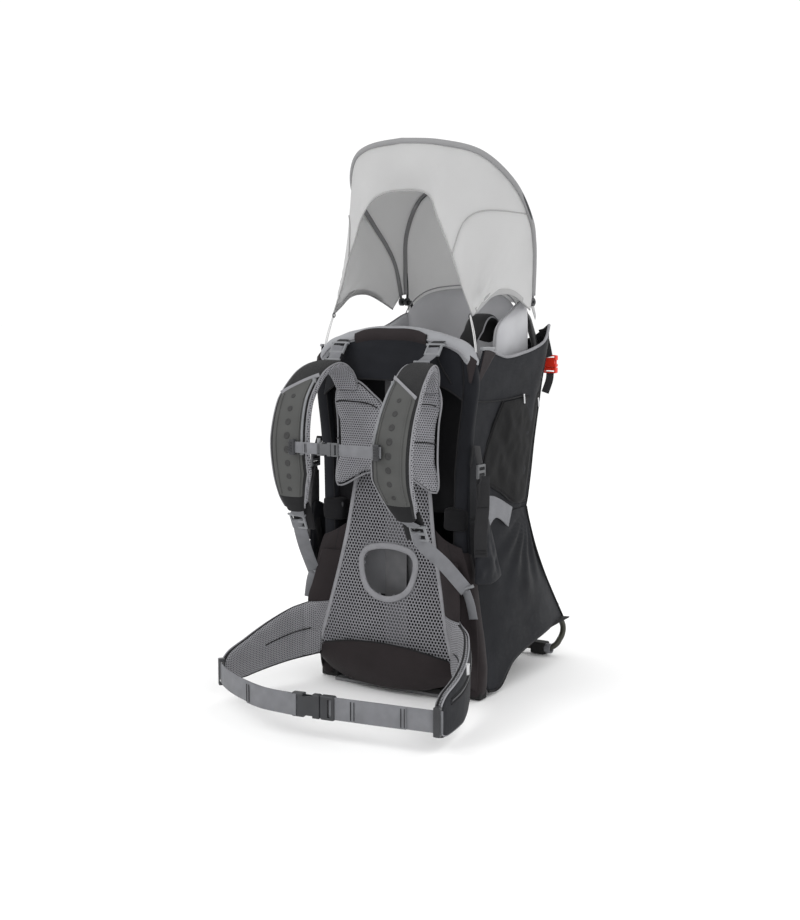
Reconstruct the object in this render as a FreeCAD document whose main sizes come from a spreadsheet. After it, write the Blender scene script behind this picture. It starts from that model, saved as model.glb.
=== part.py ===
import FreeCAD, Part
import math
import os

from FreeCAD import Placement, Rotation, Vector

# Framed child carrier, millimetres. +X is the wearer's right, -Y is the wearer's side, +Z is up.
# The origin is on the floor, half way between the two front feet.

doc = FreeCAD.newDocument("child_carrier")
sheet = doc.addObject("Spreadsheet::Sheet", "sizes")

DRIVING = {
    "frame_half_width": 168.0,
    "waist_half_width": 146.0,
    "frame_tube": 16.0,
    "rear_tube": 14.0,
    "tube_wall": 1.5,
    "stand_tube": 12.0,
    "handle_height": 676.0,
    "back_plane": -22.0,
    "waist_height": 335.0,
    "rear_half_width": 150.0,
    "rear_reach": 196.0,
    "stand_half_width": 134.0,
    "stand_reach": 366.0,
    "stand_pin": 8.0,
    "running_gap": 0.06,
    "skid_thickness": 5.0,
    "panel_thickness": 6.0,
    "sheet_thickness": 4.0,
    "mesh_thickness": 3.5,
    "stay_thickness": 3.0,
    "strap_thickness": 14.0,
    "strap_width": 76.0,
    "strap_centre": 111.0,
    "wing_thickness": 16.0,
    "webbing": 1.8,
    "belt_webbing_width": 38.0,
    "strap_webbing_width": 25.0,
    "belt_height": 60.0,
    "belt_front": -364.0,
    "sternum_height": 478.0,
    "sternum_front": -226.0,
    "shade_pivot_height": 735.0,
    "shade_pivot_reach": 240.0,
    "shade_half_width": 142.0,
    "shade_rod": 5.0,
    "shade_cloth": 1.6,
}
for row, (name, value) in enumerate(DRIVING.items(), start=1):
    sheet.set("A%d" % row, name)
    sheet.set("B%d" % row, str(value))
    sheet.setAlias("B%d" % row, name)
doc.recompute()

nodes = []


def size(name):
    return float(sheet.get(name))


def node(made, label):
    """Marks a document object as one sub-part, written under its label."""
    made.Label = label
    nodes.append(made)
    return made


# ---------------------------------------------------------------- general shapes


def origin_plane(body, role):
    return [f for f in body.Origin.OriginFeatures if f.Role == role][0]


def draw(sketch, outline):
    """A closed outline of straight sides."""
    corners = [Vector(a, b, 0) for a, b in outline]
    for start, end in zip(corners, corners[1:] + corners[:1]):
        sketch.addGeometry(Part.LineSegment(start, end), False)


def draw_curve(sketch, outline):
    """A closed smooth outline through its points."""
    curve = Part.BSplineCurve()
    curve.interpolate([Vector(a, b, 0) for a, b in outline], PeriodicFlag=True)
    sketch.addGeometry(curve, False)


def plate(label, role, outline, depth, place=(0, 0, 0), turn=0.0, smooth=False, hole=None):
    """A padded outline, centred on its plane. Its depth is a sheet alias; hole is a smooth opening in it."""
    body = doc.addObject("PartDesign::Body", label)
    sketch = body.newObject("Sketcher::SketchObject", label + "_outline")
    sketch.AttachmentSupport = (origin_plane(body, role), [""])
    sketch.MapMode = "FlatFace"
    if smooth:
        draw_curve(sketch, outline)
    else:
        draw(sketch, outline)
    pad = body.newObject("PartDesign::Pad", label + "_pad")
    pad.Profile = sketch
    pad.Midplane = True
    pad.setExpression("Length", "sizes." + depth)
    doc.recompute()
    if hole:
        uncut = body.Shape.Volume
        cut = body.newObject("Sketcher::SketchObject", label + "_opening")
        cut.AttachmentSupport = (origin_plane(body, role), [""])
        cut.MapMode = "FlatFace"
        draw_curve(cut, hole)
        pocket = body.newObject("PartDesign::Pocket", label + "_pocket")
        pocket.Profile = cut
        pocket.Midplane = True
        pocket.setExpression("Length", "sizes.%s * 3" % depth)
        doc.recompute()
        if body.Shape.Volume >= uncut:
            raise ValueError("the opening of %s cuts nothing" % label)
    body.Placement = Placement(Vector(*place), Rotation(Vector(1, 0, 0), turn))
    return body


def rounded_path(points, bend):
    """Straight runs joined by arcs of the bend radius, as one wire."""
    points = [Vector(*p) for p in points]
    edges = []
    start = points[0]
    for before, corner, after in zip(points, points[1:], points[2:]):
        back = (before - corner).normalize()
        ahead = (after - corner).normalize()
        half = back.getAngle(ahead) / 2
        reach = bend / math.tan(half)
        reach = min(reach, 0.45 * (corner - before).Length, 0.45 * (after - corner).Length)
        radius = reach * math.tan(half)
        first = corner + back * reach
        last = corner + ahead * reach
        centre_way = (back + ahead).normalize()
        middle = corner + centre_way * (radius / math.sin(half) - radius)
        edges.append(Part.LineSegment(start, first).toShape())
        edges.append(Part.Arc(first, middle, last).toShape())
        start = last
    edges.append(Part.LineSegment(start, points[-1]).toShape())
    return Part.Wire(edges)


def swept(points, radius, bend):
    path = rounded_path(points, bend)
    way = path.Edges[0].tangentAt(path.Edges[0].FirstParameter)
    ring = Part.Wire([Part.Circle(Vector(*points[0]), way, radius).toShape()])
    return path.makePipeShell([ring], True, False)


def tube(points, diameter, wall, bend):
    """A bent tube, open at both ends."""
    return swept(points, diameter / 2, bend).cut(swept(points, diameter / 2 - wall, bend))


def mirrored(shape):
    return shape.mirror(Vector(0, 0, 0), Vector(1, 0, 0))


def whole(half):
    """A half shape and its mirror image, joined on the middle plane."""
    return half.fuse(mirrored(half)).removeSplitter()


def shaped(label, shape, place=(0, 0, 0)):
    """A sub-part whose shape is worked out in this file from the sheet's sizes."""
    feature = doc.addObject("Part::Feature", label)
    if shape.ShapeType == "Compound" and len(shape.Solids) == 1:
        shape = shape.Solids[0]
    feature.Shape = shape
    feature.Placement = Placement(Vector(*place), Rotation()).multiply(shape.Placement)
    return feature


def ribbon(points, thickness, low, high, along):
    """A padded strip: a smooth centre line in the plane across `along`, given thickness and then width."""
    centre = Part.BSplineCurve()
    flat = {"X": lambda a, b: Vector(0, a, b), "Z": lambda a, b: Vector(a, b, 0)}[along]
    normal = Vector(1, 0, 0) if along == "X" else Vector(0, 0, 1)
    centre.interpolate([flat(a, b) for a, b in points])
    steps = 6 * len(points)
    first, last = centre.FirstParameter, centre.LastParameter
    sides = ([], [])
    for i in range(steps + 1):
        at = first + (last - first) * i / steps
        across = centre.tangent(at)[0].cross(normal).normalize() * (thickness / 2)
        sides[0].append(centre.value(at) + across)
        sides[1].append(centre.value(at) - across)
    edges = []
    for side in (sides[0], sides[1][::-1]):
        curve = Part.BSplineCurve()
        curve.interpolate(side)
        edges.append(curve.toShape())
    edges.append(Part.LineSegment(sides[0][-1], sides[1][-1]).toShape())
    edges.append(Part.LineSegment(sides[1][0], sides[0][0]).toShape())
    face = Part.Face(Part.Wire(Part.__sortEdges__(edges)))
    face.translate(normal * low)
    return face.extrude(normal * (high - low))


def block(dx, dy, dz, centre, rounding=0.0):
    """A box about its centre, with its long edges rounded."""
    shape = Part.makeBox(dx, dy, dz, Vector(*centre) - Vector(dx, dy, dz) / 2)
    if rounding:
        shape = shape.makeFillet(rounding, shape.Edges)
    return shape


def rod(start, end, radius):
    way = Vector(*end) - Vector(*start)
    return Part.makeCylinder(radius, way.Length, Vector(*start), way)


def strip(start, end, width_way, width, thickness):
    """A flat length of webbing from start to end, with its width along width_way."""
    start, end = Vector(*start), Vector(*end)
    way = (end - start).normalize()
    side = Vector(*width_way)
    side = (side - way * side.dot(way)).normalize()
    flat = way.cross(side)
    turn = Rotation(way, side, flat, "XYZ")
    shape = Part.makeBox((end - start).Length, width, thickness, Vector(0, -width / 2, -thickness / 2))
    shape.Placement = Placement(start, turn)
    return shape


def both(label, right):
    """A right-hand shape and its mirror image, kept as separate solids of one sub-part."""
    return node(shaped(label, Part.makeCompound([right, mirrored(right)])), label)


# ---------------------------------------------------------------- frame

HALF = size("frame_half_width")
WAIST_HALF = size("waist_half_width")
TUBE = size("frame_tube")
BACK = size("back_plane")
WAIST = size("waist_height")
WALL = size("tube_wall")
GAP = size("running_gap")
FRAME_BEND = 32.0
BASE_AXIS = 15.0
HANDLE_FRONT = -24.0

front_path = [
    (0, HANDLE_FRONT, size("handle_height")),
    (36, HANDLE_FRONT, size("handle_height")),
    (94, HANDLE_FRONT, size("handle_height") - 10),
    (154, HANDLE_FRONT + 8, size("handle_height") - 30),
    (HALF, HANDLE_FRONT, size("handle_height") - 88),
    (WAIST_HALF + 3, BACK, 430),
    (WAIST_HALF, BACK, 280),
    (HALF, -4, 60),
    (HALF, 0, BASE_AXIS),
    (2, 0, BASE_AXIS),
]


def front_frame():
    upper = tube(front_path, TUBE, WALL, FRAME_BEND)
    return node(shaped("front_frame", whole(upper)), "front_frame")


REAR = size("rear_tube")
REAR_HALF = size("rear_half_width")
REACH = size("rear_reach")
REAR_TOP = size("shade_pivot_height") - 17
rear_path = [
    (0, 289, REAR_TOP - 3),
    (112, 289, REAR_TOP - 3),
    (144, 268, 650),
    (REAR_HALF, 216, 430),
    (REAR_HALF, REACH - 2, WAIST),
    (REAR_HALF, BACK + 16, WAIST + 4),
]


def rear_frame():
    return node(shaped("rear_frame", whole(tube(rear_path, REAR, WALL, FRAME_BEND))), "rear_frame")


SCREW_X = WAIST_HALF - 22


def frame_brackets():
    """Moulded clamps that hold the rear frame's ends to the uprights."""
    clamp = block(46, 38, 30, (WAIST_HALF - 10.5, BACK + 6, WAIST + 4), 3)
    upright = rod(front_path[6], front_path[5], TUBE / 2 + 1)
    rail = rod((REAR_HALF, BACK + 12, WAIST + 4), (REAR_HALF, BACK + 40, WAIST + 4), REAR / 2 + 1)
    screw_hole = rod((SCREW_X, BACK - 30, WAIST + 4), (SCREW_X, BACK + 50, WAIST + 4), 2.6)
    clamp = clamp.cut(upright).cut(rail).cut(screw_hole)
    return both("frame_brackets", clamp)


def bracket_screws():
    front = BACK - 14.2
    shank = rod((SCREW_X, front, WAIST + 4), (SCREW_X, BACK + 24, WAIST + 4), 2.5)
    head = rod((SCREW_X, front - 2.6, WAIST + 4), (SCREW_X, front, WAIST + 4), 4.4)
    return both("bracket_screws", shank.fuse(head))


def front_feet():
    """Rubber shoes under the frame's lower corners."""
    shoe = block(40, 26, 26, (HALF - 8, 0, 13), 3)
    groove = rod((HALF - 60, 0, BASE_AXIS), (HALF + 40, 0, BASE_AXIS), TUBE / 2 + 0.4)
    rise = Part.makeBox(70, 60, 60, Vector(HALF - 43, -30, BASE_AXIS))
    return both("front_feet", shoe.cut(groove).cut(rise))


def base_skid():
    outline = [(-134, -32), (134, -32), (134, 18), (-134, 18)]
    skid = plate("base_skid", "XY_Plane", outline, "skid_thickness", (0, 0, size("skid_thickness") / 2))
    return node(skid, "base_skid")


def torso_stay():
    """The flat bar that the shoulder harness is carried on."""
    outline = [(-24, 40), (24, 40), (24, 590), (-24, 590)]
    stay = plate("torso_stay", "XZ_Plane", outline, "stay_thickness", (0, -20, 0))
    return node(stay, "torso_stay")


STAND = size("stand_tube")
STAND_HALF = size("stand_half_width")
STAND_PIN = size("stand_pin")
HINGE = (REACH, WAIST - 17)
STAND_AXIS = 13.0
STAND_FLARE = 18.0
stand_path = [
    (STAND_HALF, REACH, WAIST - 5),
    (STAND_HALF, REACH + 2, WAIST - 40),
    (STAND_HALF + STAND_FLARE, size("stand_reach"), 98),
    (STAND_HALF + STAND_FLARE, size("stand_reach") + 40, 46),
    (STAND_HALF + STAND_FLARE - 6, size("stand_reach"), STAND_AXIS),
    (0, size("stand_reach"), STAND_AXIS),
]


def kickstand():
    leg = tube(stand_path, STAND, WALL, 22.0)
    pin_hole = rod((STAND_HALF - 20, *HINGE), (STAND_HALF + 20, *HINGE), STAND_PIN / 2 + GAP)
    return node(shaped("kickstand", whole(leg.cut(pin_hole))), "kickstand")


def kickstand_pins():
    pin = rod((STAND_HALF - 9, *HINGE), (REAR_HALF - 1, *HINGE), STAND_PIN / 2)
    return both("kickstand_pins", pin)


def kickstand_brackets():
    """Plates that hang under the rear frame's rails and carry the kickstand's pins."""
    lug = block(5, 30, 34, (REAR_HALF - 5.5, HINGE[0], HINGE[1] + 2), 0)
    rail = swept(rear_path, REAR / 2 + 0.3, FRAME_BEND)
    pin_seat = rod((REAR_HALF - 20, *HINGE), (REAR_HALF + 20, *HINGE), STAND_PIN / 2)
    return both("kickstand_brackets", lug.cut(rail).cut(pin_seat))


def kickstand_feet():
    """Rubber sleeves on the kickstand's ground bar."""
    sleeve = block(34, 26, 25, (112, size("stand_reach") + 3, 12.5), 4)
    return both("kickstand_feet", sleeve.cut(swept(stand_path, STAND / 2 + 0.2, 22.0)))


# ---------------------------------------------------------------- handle, cockpit and seat


GRIP_END = 620.0


def handle_grip():
    """Padded tube cover over the handle's arch."""
    pad = swept(front_path[:6], 14.0, FRAME_BEND)
    bore = swept(front_path[:6], TUBE / 2 + 2.5, FRAME_BEND)
    below = Part.makeBox(400, 200, 400, Vector(-200, -100, GRIP_END - 400))
    return node(shaped("handle_grip", whole(pad.cut(bore).cut(below))), "handle_grip")


def handle_sleeve():
    """The hand grip's cover, wrapped under the middle of the arch."""
    sleeve_path = front_path[:2] + [(78, HANDLE_FRONT, size("handle_height") - 7.2)]
    shell = swept(sleeve_path, 17.0, 5).cut(swept(sleeve_path, 14.4, 5))
    return node(shaped("handle_sleeve", whole(shell)), "handle_sleeve")


def cockpit_front():
    """The padded wall between the child and the wearer."""
    top = size("handle_height") - 32
    foot = WAIST + 22
    outline = [(-150, foot), (150, foot), (150, 590), (128, top), (-128, top), (-150, 590)]
    wall = plate("cockpit_front", "XZ_Plane", outline, "panel_thickness", (0, -6, 0))
    return node(wall, "cockpit_front")


SIDE_X = 172.0
SIDE_TOP = 650.0
SIDE_LEAN = 12.0


def leaning_wall(outline, level_at, waist_at):
    """A flat side wall of (y, z) corners that leans in by SIDE_LEAN from one height to the waist."""
    points = []
    for a, b in outline + outline[:1]:
        share = (b - level_at) / (waist_at - level_at)
        points.append(Vector(SIDE_X - SIDE_LEAN * share, a, b))
    return Part.Face(Part.makePolygon(points)).extrude(Vector(size("panel_thickness"), 0, 0))


def side_panels():
    foot = WAIST + 2
    outline = [(2, foot), (-14, 420), (-6, 588), (-2, 645), (90, 634), (248, 650), (208, 440), (182, foot)]
    wall = leaning_wall(outline, SIDE_TOP, foot)
    keep_out = swept(front_path, TUBE / 2 + 1.5, FRAME_BEND)
    return both("side_panels", wall.cut(keep_out))


def storage_sides():
    """Lower side walls, which flare back to the open kickstand."""
    top = WAIST - 1
    outline = [(16, 30), (14, 62), (-8, 280), (2, top), (182, top), (350, 92), (250, 80), (120, 46)]
    wall = leaning_wall(outline, outline[0][1], top)
    keep_out = swept(front_path, TUBE / 2 + 1.5, FRAME_BEND)
    return both("storage_sides", wall.cut(keep_out))


def storage_bag():
    outline = [(18, 62), (24, 322), (200, 322), (326, 120), (300, 108), (120, 60)]
    wire = Part.makePolygon([Vector(-118, a, b) for a, b in outline + outline[:1]])
    return node(shaped("storage_bag", Part.Face(wire).extrude(Vector(236, 0, 0))), "storage_bag")


def cockpit_rear():
    outline = [(190, WAIST + 12), (206, 430), (252, 640), (260, 640), (214, 430), (198, WAIST + 12)]
    wire = Part.makePolygon([Vector(-136, a, b) for a, b in outline + outline[:1]])
    return node(shaped("cockpit_rear", Part.Face(wire).extrude(Vector(272, 0, 0))), "cockpit_rear")


def headrest_panel():
    """The tall head cushion at the back of the cockpit."""
    body = block(248, 32, 150, (0, 228, 688), 14)
    return node(shaped("headrest_panel", body), "headrest_panel")


def headrest_wings():
    """Cheek cushions on the head cushion's two ends."""
    return both("headrest_wings", block(34, 20, 120, (104, 199, 672), 8))


def seat_pad():
    seat = block(118, 130, 26, (0, 112, 398), 8)
    return node(shaped("seat_pad", seat), "seat_pad")


def harness_straps():
    strap = ribbon([(200, 640), (190, 686), (160, 708), (126, 688), (108, 640), (102, 585)], 9, 22, 56, "X")
    return both("harness_straps", strap)


# ---------------------------------------------------------------- back panel and harness

mesh_half = [
    (0, 446), (62, 446), (78, 430), (84, 380), (96, 300),
    (112, 220), (134, 130), (150, 78), (140, 66), (0, 88),
]
window_half = [(44, 268), (56, 244), (44, 204), (16, 186)]
trim_half = [(52, 280), (69, 246), (54, 196), (18, 173)]
MESH_PLACE = (0, -66, 0)
MESH_TURN = -4.6


def mirrored_outline(half):
    return half + [(-a, b) for a, b in half[::-1] if a > 0]


window_outline = mirrored_outline([(0, 276)] + window_half)
trim_outline = mirrored_outline([(0, 288)] + trim_half)


def back_mesh():
    panel = plate("back_mesh", "XZ_Plane", mirrored_outline(mesh_half), "mesh_thickness",
                  MESH_PLACE, MESH_TURN, hole=window_outline)
    return node(panel, "back_mesh")


def window_trim():
    place = (MESH_PLACE[0], MESH_PLACE[1] - 4.2, MESH_PLACE[2])
    trim = plate("window_trim", "XZ_Plane", trim_outline, "stay_thickness", place, MESH_TURN,
                 smooth=True, hole=window_outline)
    return node(trim, "window_trim")


def lumbar_cover():
    outline = mirrored_outline([(0, 12), (140, 12), (146, 40), (140, 92), (90, 112), (0, 120)])
    cover = plate("lumbar_cover", "XZ_Plane", outline, "sheet_thickness", (0, -48, 0), 0)
    return node(cover, "lumbar_cover")


def lower_covers():
    """Stretch panels between the uprights and the back mesh."""
    outline = [(92, 130), (156, 60), (156, 316), (112, 306)]
    wire = Part.makePolygon([Vector(a, -36.5, b) for a, b in outline + outline[:1]])
    return both("lower_covers", Part.Face(wire).extrude(Vector(0, size("sheet_thickness"), 0)))


def yoke_pads():
    outline = [(22, 420), (60, 398), (104, 396), (112, 470), (106, 556), (64, 566), (34, 520)]
    wire = Part.makePolygon([Vector(a, -56, b) for a, b in outline + outline[:1]])
    pad = Part.Face(wire).extrude(Vector(0, 12, 0))
    return both("yoke_pads", pad)


STRAP_X = size("strap_centre")
strap_line = [
    (-52, 572), (-66, 604), (-96, 620), (-140, 604), (-184, 556),
    (-206, 492), (-204, 430), (-188, 384), (-172, 357),
]


def shoulder_straps():
    half_width = size("strap_width") / 2
    strap = ribbon(strap_line, size("strap_thickness"), STRAP_X - half_width, STRAP_X + half_width, "X")
    taper = Part.makePolygon([Vector(x, 0, z) for x, z in
                              [(60, 300), (114, 300), (96, 420), (60, 520), (60, 300)]])
    outer = Part.makePolygon([Vector(x, 0, z) for x, z in
                              [(170, 300), (150, 300), (152, 420), (158, 460), (170, 300)]])
    for wire in (taper, outer):
        cutter = Part.Face(wire).extrude(Vector(0, -260, 0))
        strap = strap.cut(cutter)
    right = node(shaped("shoulder_strap_right", strap), "shoulder_strap_right")
    left = node(shaped("shoulder_strap_left", mirrored(strap)), "shoulder_strap_left")
    return right, left


def ladder_lock(width, length, thickness):
    """A webbing adjuster: a rounded frame with a cross bar between its two slots, about its own centre."""
    frame = block(width, thickness, length, (0, 0, 0), thickness * 0.3)
    slot_gap = (length - 4 * 3.6) / 2
    for centre in (-1, 1):
        middle = centre * (slot_gap / 2 + 2.6)
        frame = frame.cut(block(width - 8, thickness * 3, slot_gap, (0, 0, middle)))
    return frame


def turned(shape, axis, angle, place):
    moved = shape.copy()
    moved.Placement = Placement(Vector(*place), Rotation(Vector(*axis), angle)).multiply(moved.Placement)
    return moved


LOWER_LOCK = (131, -153, 331)
LIFTER_LOCK = (104, -58, 650)
LOCK_PIN = 2.2


def lock_with_pin(label, size_box, place, angle):
    """A ladder-lock with the round bar that it tilts on at its upper end."""
    width, length, thickness = size_box
    lock = ladder_lock(width, length, thickness)
    bar = rod((-width / 2 - 3, 0, length / 2 - 2.4), (width / 2 + 3, 0, length / 2 - 2.4), LOCK_PIN)
    lock = turned(lock.fuse(bar), (1, 0, 0), angle, place)
    right = node(shaped(label + "_right", lock), label + "_right")
    left = node(shaped(label + "_left", mirrored(lock)), label + "_left")
    return right, left


def lower_locks():
    return lock_with_pin("lower_lock", (34, 32, 5), LOWER_LOCK, 24)


def lifter_locks():
    return lock_with_pin("lifter_lock", (32, 27, 5), LIFTER_LOCK, -38)


def lower_webbing():
    web = strip((134, -142, 311), (170, -54, 216), (1, -0.3, 0), size("strap_webbing_width"), size("webbing"))
    return both("lower_webbing", web)


def lifter_webbing():
    web = strip((106, -69, 635), (108.4, -81, 628.6), (1, 0, 0), size("strap_webbing_width"), size("webbing"))
    return both("lifter_webbing", web)


# ---------------------------------------------------------------- side-release buckles

# A buckle lies along X: the socket on the -X side, the plug on the +X side, with its width along Z.


def buckle_socket(width, length, depth):
    shell = block(length, depth, width, (-length / 2, 0, 0), depth * 0.25)
    mouth = block(length * 0.62, depth * 0.5, width * 0.78, (-length * 0.31, 0, 0))
    shell = shell.cut(mouth)
    for side in (-1, 1):
        window = block(length * 0.34, depth * 3, width * 0.16, (-length * 0.42, 0, side * width * 0.47))
        shell = shell.cut(window)
    slot = block(length * 0.12, depth * 3, width * 0.74, (-length * 0.84, 0, 0))
    return shell.cut(slot)


def buckle_plug(width, length, depth):
    gap = 0.3
    base = block(length * 0.5, depth, width, (length * 0.25 + gap, 0, 0), depth * 0.25)
    slot = block(length * 0.13, depth * 3, width * 0.74, (length * 0.34, 0, 0))
    base = base.cut(slot)
    thickness = depth * 0.4
    tongue = block(length * 0.5, thickness, width * 0.16, (-length * 0.2, 0, 0))
    prongs = []
    for side in (-1, 1):
        prongs.append(block(length * 0.52, thickness, width * 0.12, (-length * 0.2, 0, side * width * 0.3)))
    return base.fuse([tongue] + prongs).removeSplitter()


HIP_BUCKLE = (42, 54, 14)
CHEST_BUCKLE = (24, 30, 9)
RED_BUCKLE = (30, 24, 11)
BELT_X = 68.0
CHEST_X = -4.0
SLIDER_X = 90.0


def hip_buckle():
    place = (BELT_X, size("belt_front"), size("belt_height"))
    turn = math.degrees(math.atan2(51, 212))
    socket = turned(buckle_socket(*HIP_BUCKLE), (0, 0, 1), turn * 0.6, place)
    plug = turned(buckle_plug(*HIP_BUCKLE), (0, 0, 1), turn * 0.6, place)
    node(shaped("hip_buckle_socket", socket), "hip_buckle_socket")
    node(shaped("hip_buckle_plug", plug), "hip_buckle_plug")


def sternum_buckle():
    place = (CHEST_X, size("sternum_front"), size("sternum_height"))
    node(shaped("sternum_buckle_socket", turned(buckle_socket(*CHEST_BUCKLE), (0, 0, 1), 0, place)),
         "sternum_buckle_socket")
    node(shaped("sternum_buckle_plug", turned(buckle_plug(*CHEST_BUCKLE), (0, 0, 1), 0, place)),
         "sternum_buckle_plug")


def side_buckle():
    """The red buckle behind the cockpit, with its width upright and its pull along Z."""
    place = (162, 300, 606)
    socket = turned(buckle_socket(*RED_BUCKLE), (0, 1, 0), 90, place)
    plug = turned(buckle_plug(*RED_BUCKLE), (0, 1, 0), 90, place)
    node(shaped("side_buckle_socket", socket), "side_buckle_socket")
    node(shaped("side_buckle_plug", plug), "side_buckle_plug")


def sternum_strap():
    front, high = size("sternum_front"), size("sternum_height")
    web, wide = size("webbing"), size("strap_webbing_width") * 0.8
    slider = block(12, 10, 28, (SLIDER_X, front + 1, high), 2)
    slider = slider.cut(block(40, 3.4, wide + 1.6, (SLIDER_X, front, high)))
    both("sternum_sliders", slider)
    left = strip((-84, front, high), (CHEST_X - CHEST_BUCKLE[1] - 1, front, high), (0, 0, 1), wide, web)
    node(shaped("sternum_webbing_left", left), "sternum_webbing_left")
    right = strip((CHEST_X + CHEST_BUCKLE[1] / 2 + 1, front, high), (118, front, high), (0, 0, 1), wide, web)
    node(shaped("sternum_webbing_right", right), "sternum_webbing_right")


# ---------------------------------------------------------------- hip belt

right_wing_line = [(160, -68), (196, -104), (228, -164), (245, -224), (252, -296)]
left_wing_line = [(160, -68), (186, -106), (206, -152), (220, -200), (226, -244)]


def wing(line, top_edge, bottom_edge):
    """A padded fin on a curved line, cut to sloping top and bottom edges of (y, z) corners."""
    fin = ribbon(line, size("wing_thickness"), 0, 190, "Z")
    for edge, beyond in ((top_edge, 260), (bottom_edge, -20)):
        corners = edge + [(edge[-1][0], beyond), (edge[0][0], beyond), edge[0]]
        wire = Part.makePolygon([Vector(0, y, z) for y, z in corners])
        fin = fin.cut(Part.Face(wire).extrude(Vector(300, 0, 0)))
    return fin


def hip_wings():
    right = wing(right_wing_line, [(-40, 164), (-100, 146), (-320, 84)], [(-40, 52), (-320, 8)])
    left = wing(left_wing_line, [(-40, 176), (-100, 148), (-270, 76)], [(-40, 60), (-270, 28)])
    node(shaped("hip_wing_right", right), "hip_wing_right")
    node(shaped("hip_wing_left", mirrored(left)), "hip_wing_left")


def hip_webbing():
    wide, web, high = size("belt_webbing_width"), size("webbing"), size("belt_height")
    turn = math.atan2(51, 212) * 0.6
    way = Vector(math.cos(turn), math.sin(turn), 0)
    at = Vector(BELT_X, size("belt_front"), high)
    start, end = at + way * 28.5, at + way * 236
    right = strip(tuple(start), tuple(end), (0, 0, 1), wide, web)
    node(shaped("hip_webbing_right", right), "hip_webbing_right")
    join = at - way * (HIP_BUCKLE[1] + 1.5)
    tip = Vector(-234, -262, high)
    bend = Vector(-192, -302, high)
    line = [(join.x, join.y), (join.x - 60, join.y + 1), (-130, -340), (bend.x, bend.y), (tip.x, tip.y)]
    left = ribbon(line, web, high - wide / 2, high + wide / 2, "Z")
    node(shaped("hip_webbing_left", left), "hip_webbing_left")
    slider_at = at + way * 212
    slider = block(12, 12, wide + 12, (0, 0, 0), 2)
    slider = slider.cut(block(40, 4.6, wide + 2.4, (0, 0, 0)))
    slider = turned(slider, (0, 0, 1), math.degrees(turn), tuple(slider_at))
    left_slider = block(12, 12, wide + 12, (0, 0, 0), 2).cut(block(40, 7.6, wide + 2.4, (0, 0, 0)))
    last_run = tip - bend
    left_turn = math.degrees(math.atan2(last_run.y, last_run.x))
    left_slider = turned(left_slider, (0, 0, 1), left_turn, tuple(bend + last_run * 0.6))
    pair = Part.makeCompound([slider, left_slider])
    node(shaped("hip_sliders", pair), "hip_sliders")


def pocket_zip_pull():
    """The pull tab of the hip pocket's zip, hanging from its slider."""
    tab = block(2.4, 7, 20, (0, 0, -9), 1)
    eye = rod((-3, 0, 0), (3, 0, 0), 2.0)
    pull = turned(tab.fuse(eye), (0, 0, 1), -14, (256, -196, 122))
    return node(shaped("pocket_zip_pull", pull), "pocket_zip_pull")


# ---------------------------------------------------------------- stirrups

STIRRUP_TOP = (184.0, -24.0, 412.0)


def stirrup_locks():
    x, y, z = STIRRUP_TOP
    lock = turned(ladder_lock(28, 26, 5), (0, 0, 1), 90, (x, y, z + 18.5))
    return both("stirrup_locks", lock)


def stirrups():
    """A foot loop: a pin in the webbing's top, the webbing and a shaped pad."""
    x, y, z = STIRRUP_TOP
    pin = rod((x - 13, y, z - 3), (x + 13, y, z - 3), 2.0)
    web = Part.makeBox(1.8, 22, 168, Vector(x - 0.9, y - 11, z - 170))
    outline = [(-14, 0), (22, 0), (38, -70), (-26, -70)]
    wire = Part.makePolygon([Vector(x - 5, y + a, z - 100 + b) for a, b in outline + outline[:1]])
    pad = Part.Face(wire).extrude(Vector(10, 0, 0))
    loop = pin.fuse([web, pad]).removeSplitter()
    node(shaped("stirrup_right", loop), "stirrup_right")
    node(shaped("stirrup_left", mirrored(loop)), "stirrup_left")


# ---------------------------------------------------------------- sunshade

PIVOT = (size("shade_pivot_reach"), size("shade_pivot_height"))
SHADE_X = size("shade_half_width")
ROD = size("shade_rod")
front_hoop_line = [
    (SHADE_X + 9, PIVOT[0], PIVOT[1]),
    (SHADE_X + 13, PIVOT[0] - 6, PIVOT[1] + 38),
    (SHADE_X + 18, PIVOT[0] - 14, PIVOT[1] + 76),
    (SHADE_X + 38, 178, 884),
    (SHADE_X + 38, 106, 954),
    (140, 54, 1005),
    (76, 12, 1023),
    (0, 0, 1029),
]
rear_hoop_line = [
    (SHADE_X - 4, PIVOT[0], PIVOT[1]),
    (SHADE_X - 3, PIVOT[0] - 2, PIVOT[1] + 65),
    (SHADE_X - 2, PIVOT[0] - 2, PIVOT[1] + 130),
    (SHADE_X - 18, PIVOT[0] + 6, 922),
    (102, PIVOT[0] + 18, 954),
    (56, PIVOT[0] + 27, 968),
    (0, PIVOT[0] + 30, 972),
]


def hoop(points, radius):
    """A sprung rod bent in a smooth arch, as half and mirror."""
    points = [Vector(*p) for p in points]
    curve = Part.BSplineCurve()
    curve.interpolate(points + [Vector(-p.x, p.y, p.z) for p in points[-2::-1]])
    path = Part.Wire([curve.toShape()])
    way = curve.tangent(curve.FirstParameter)[0]
    ring = Part.Wire([Part.Circle(points[0], way, radius).toShape()])
    return path.makePipeShell([ring], True, False)


def hoop_with_eyes(label, points):
    x = points[0][0]
    eyes = []
    for side in (-1, 1):
        eye = rod((side * x - 3, *PIVOT), (side * x + 3, *PIVOT), 8.0)
        eyes.append(eye)
    body = hoop(points, ROD / 2).fuse(eyes)
    for side in (-1, 1):
        body = body.cut(rod((side * x - 8, *PIVOT), (side * x + 8, *PIVOT), 3.0 + GAP))
    return node(shaped(label, body), label)


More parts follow.
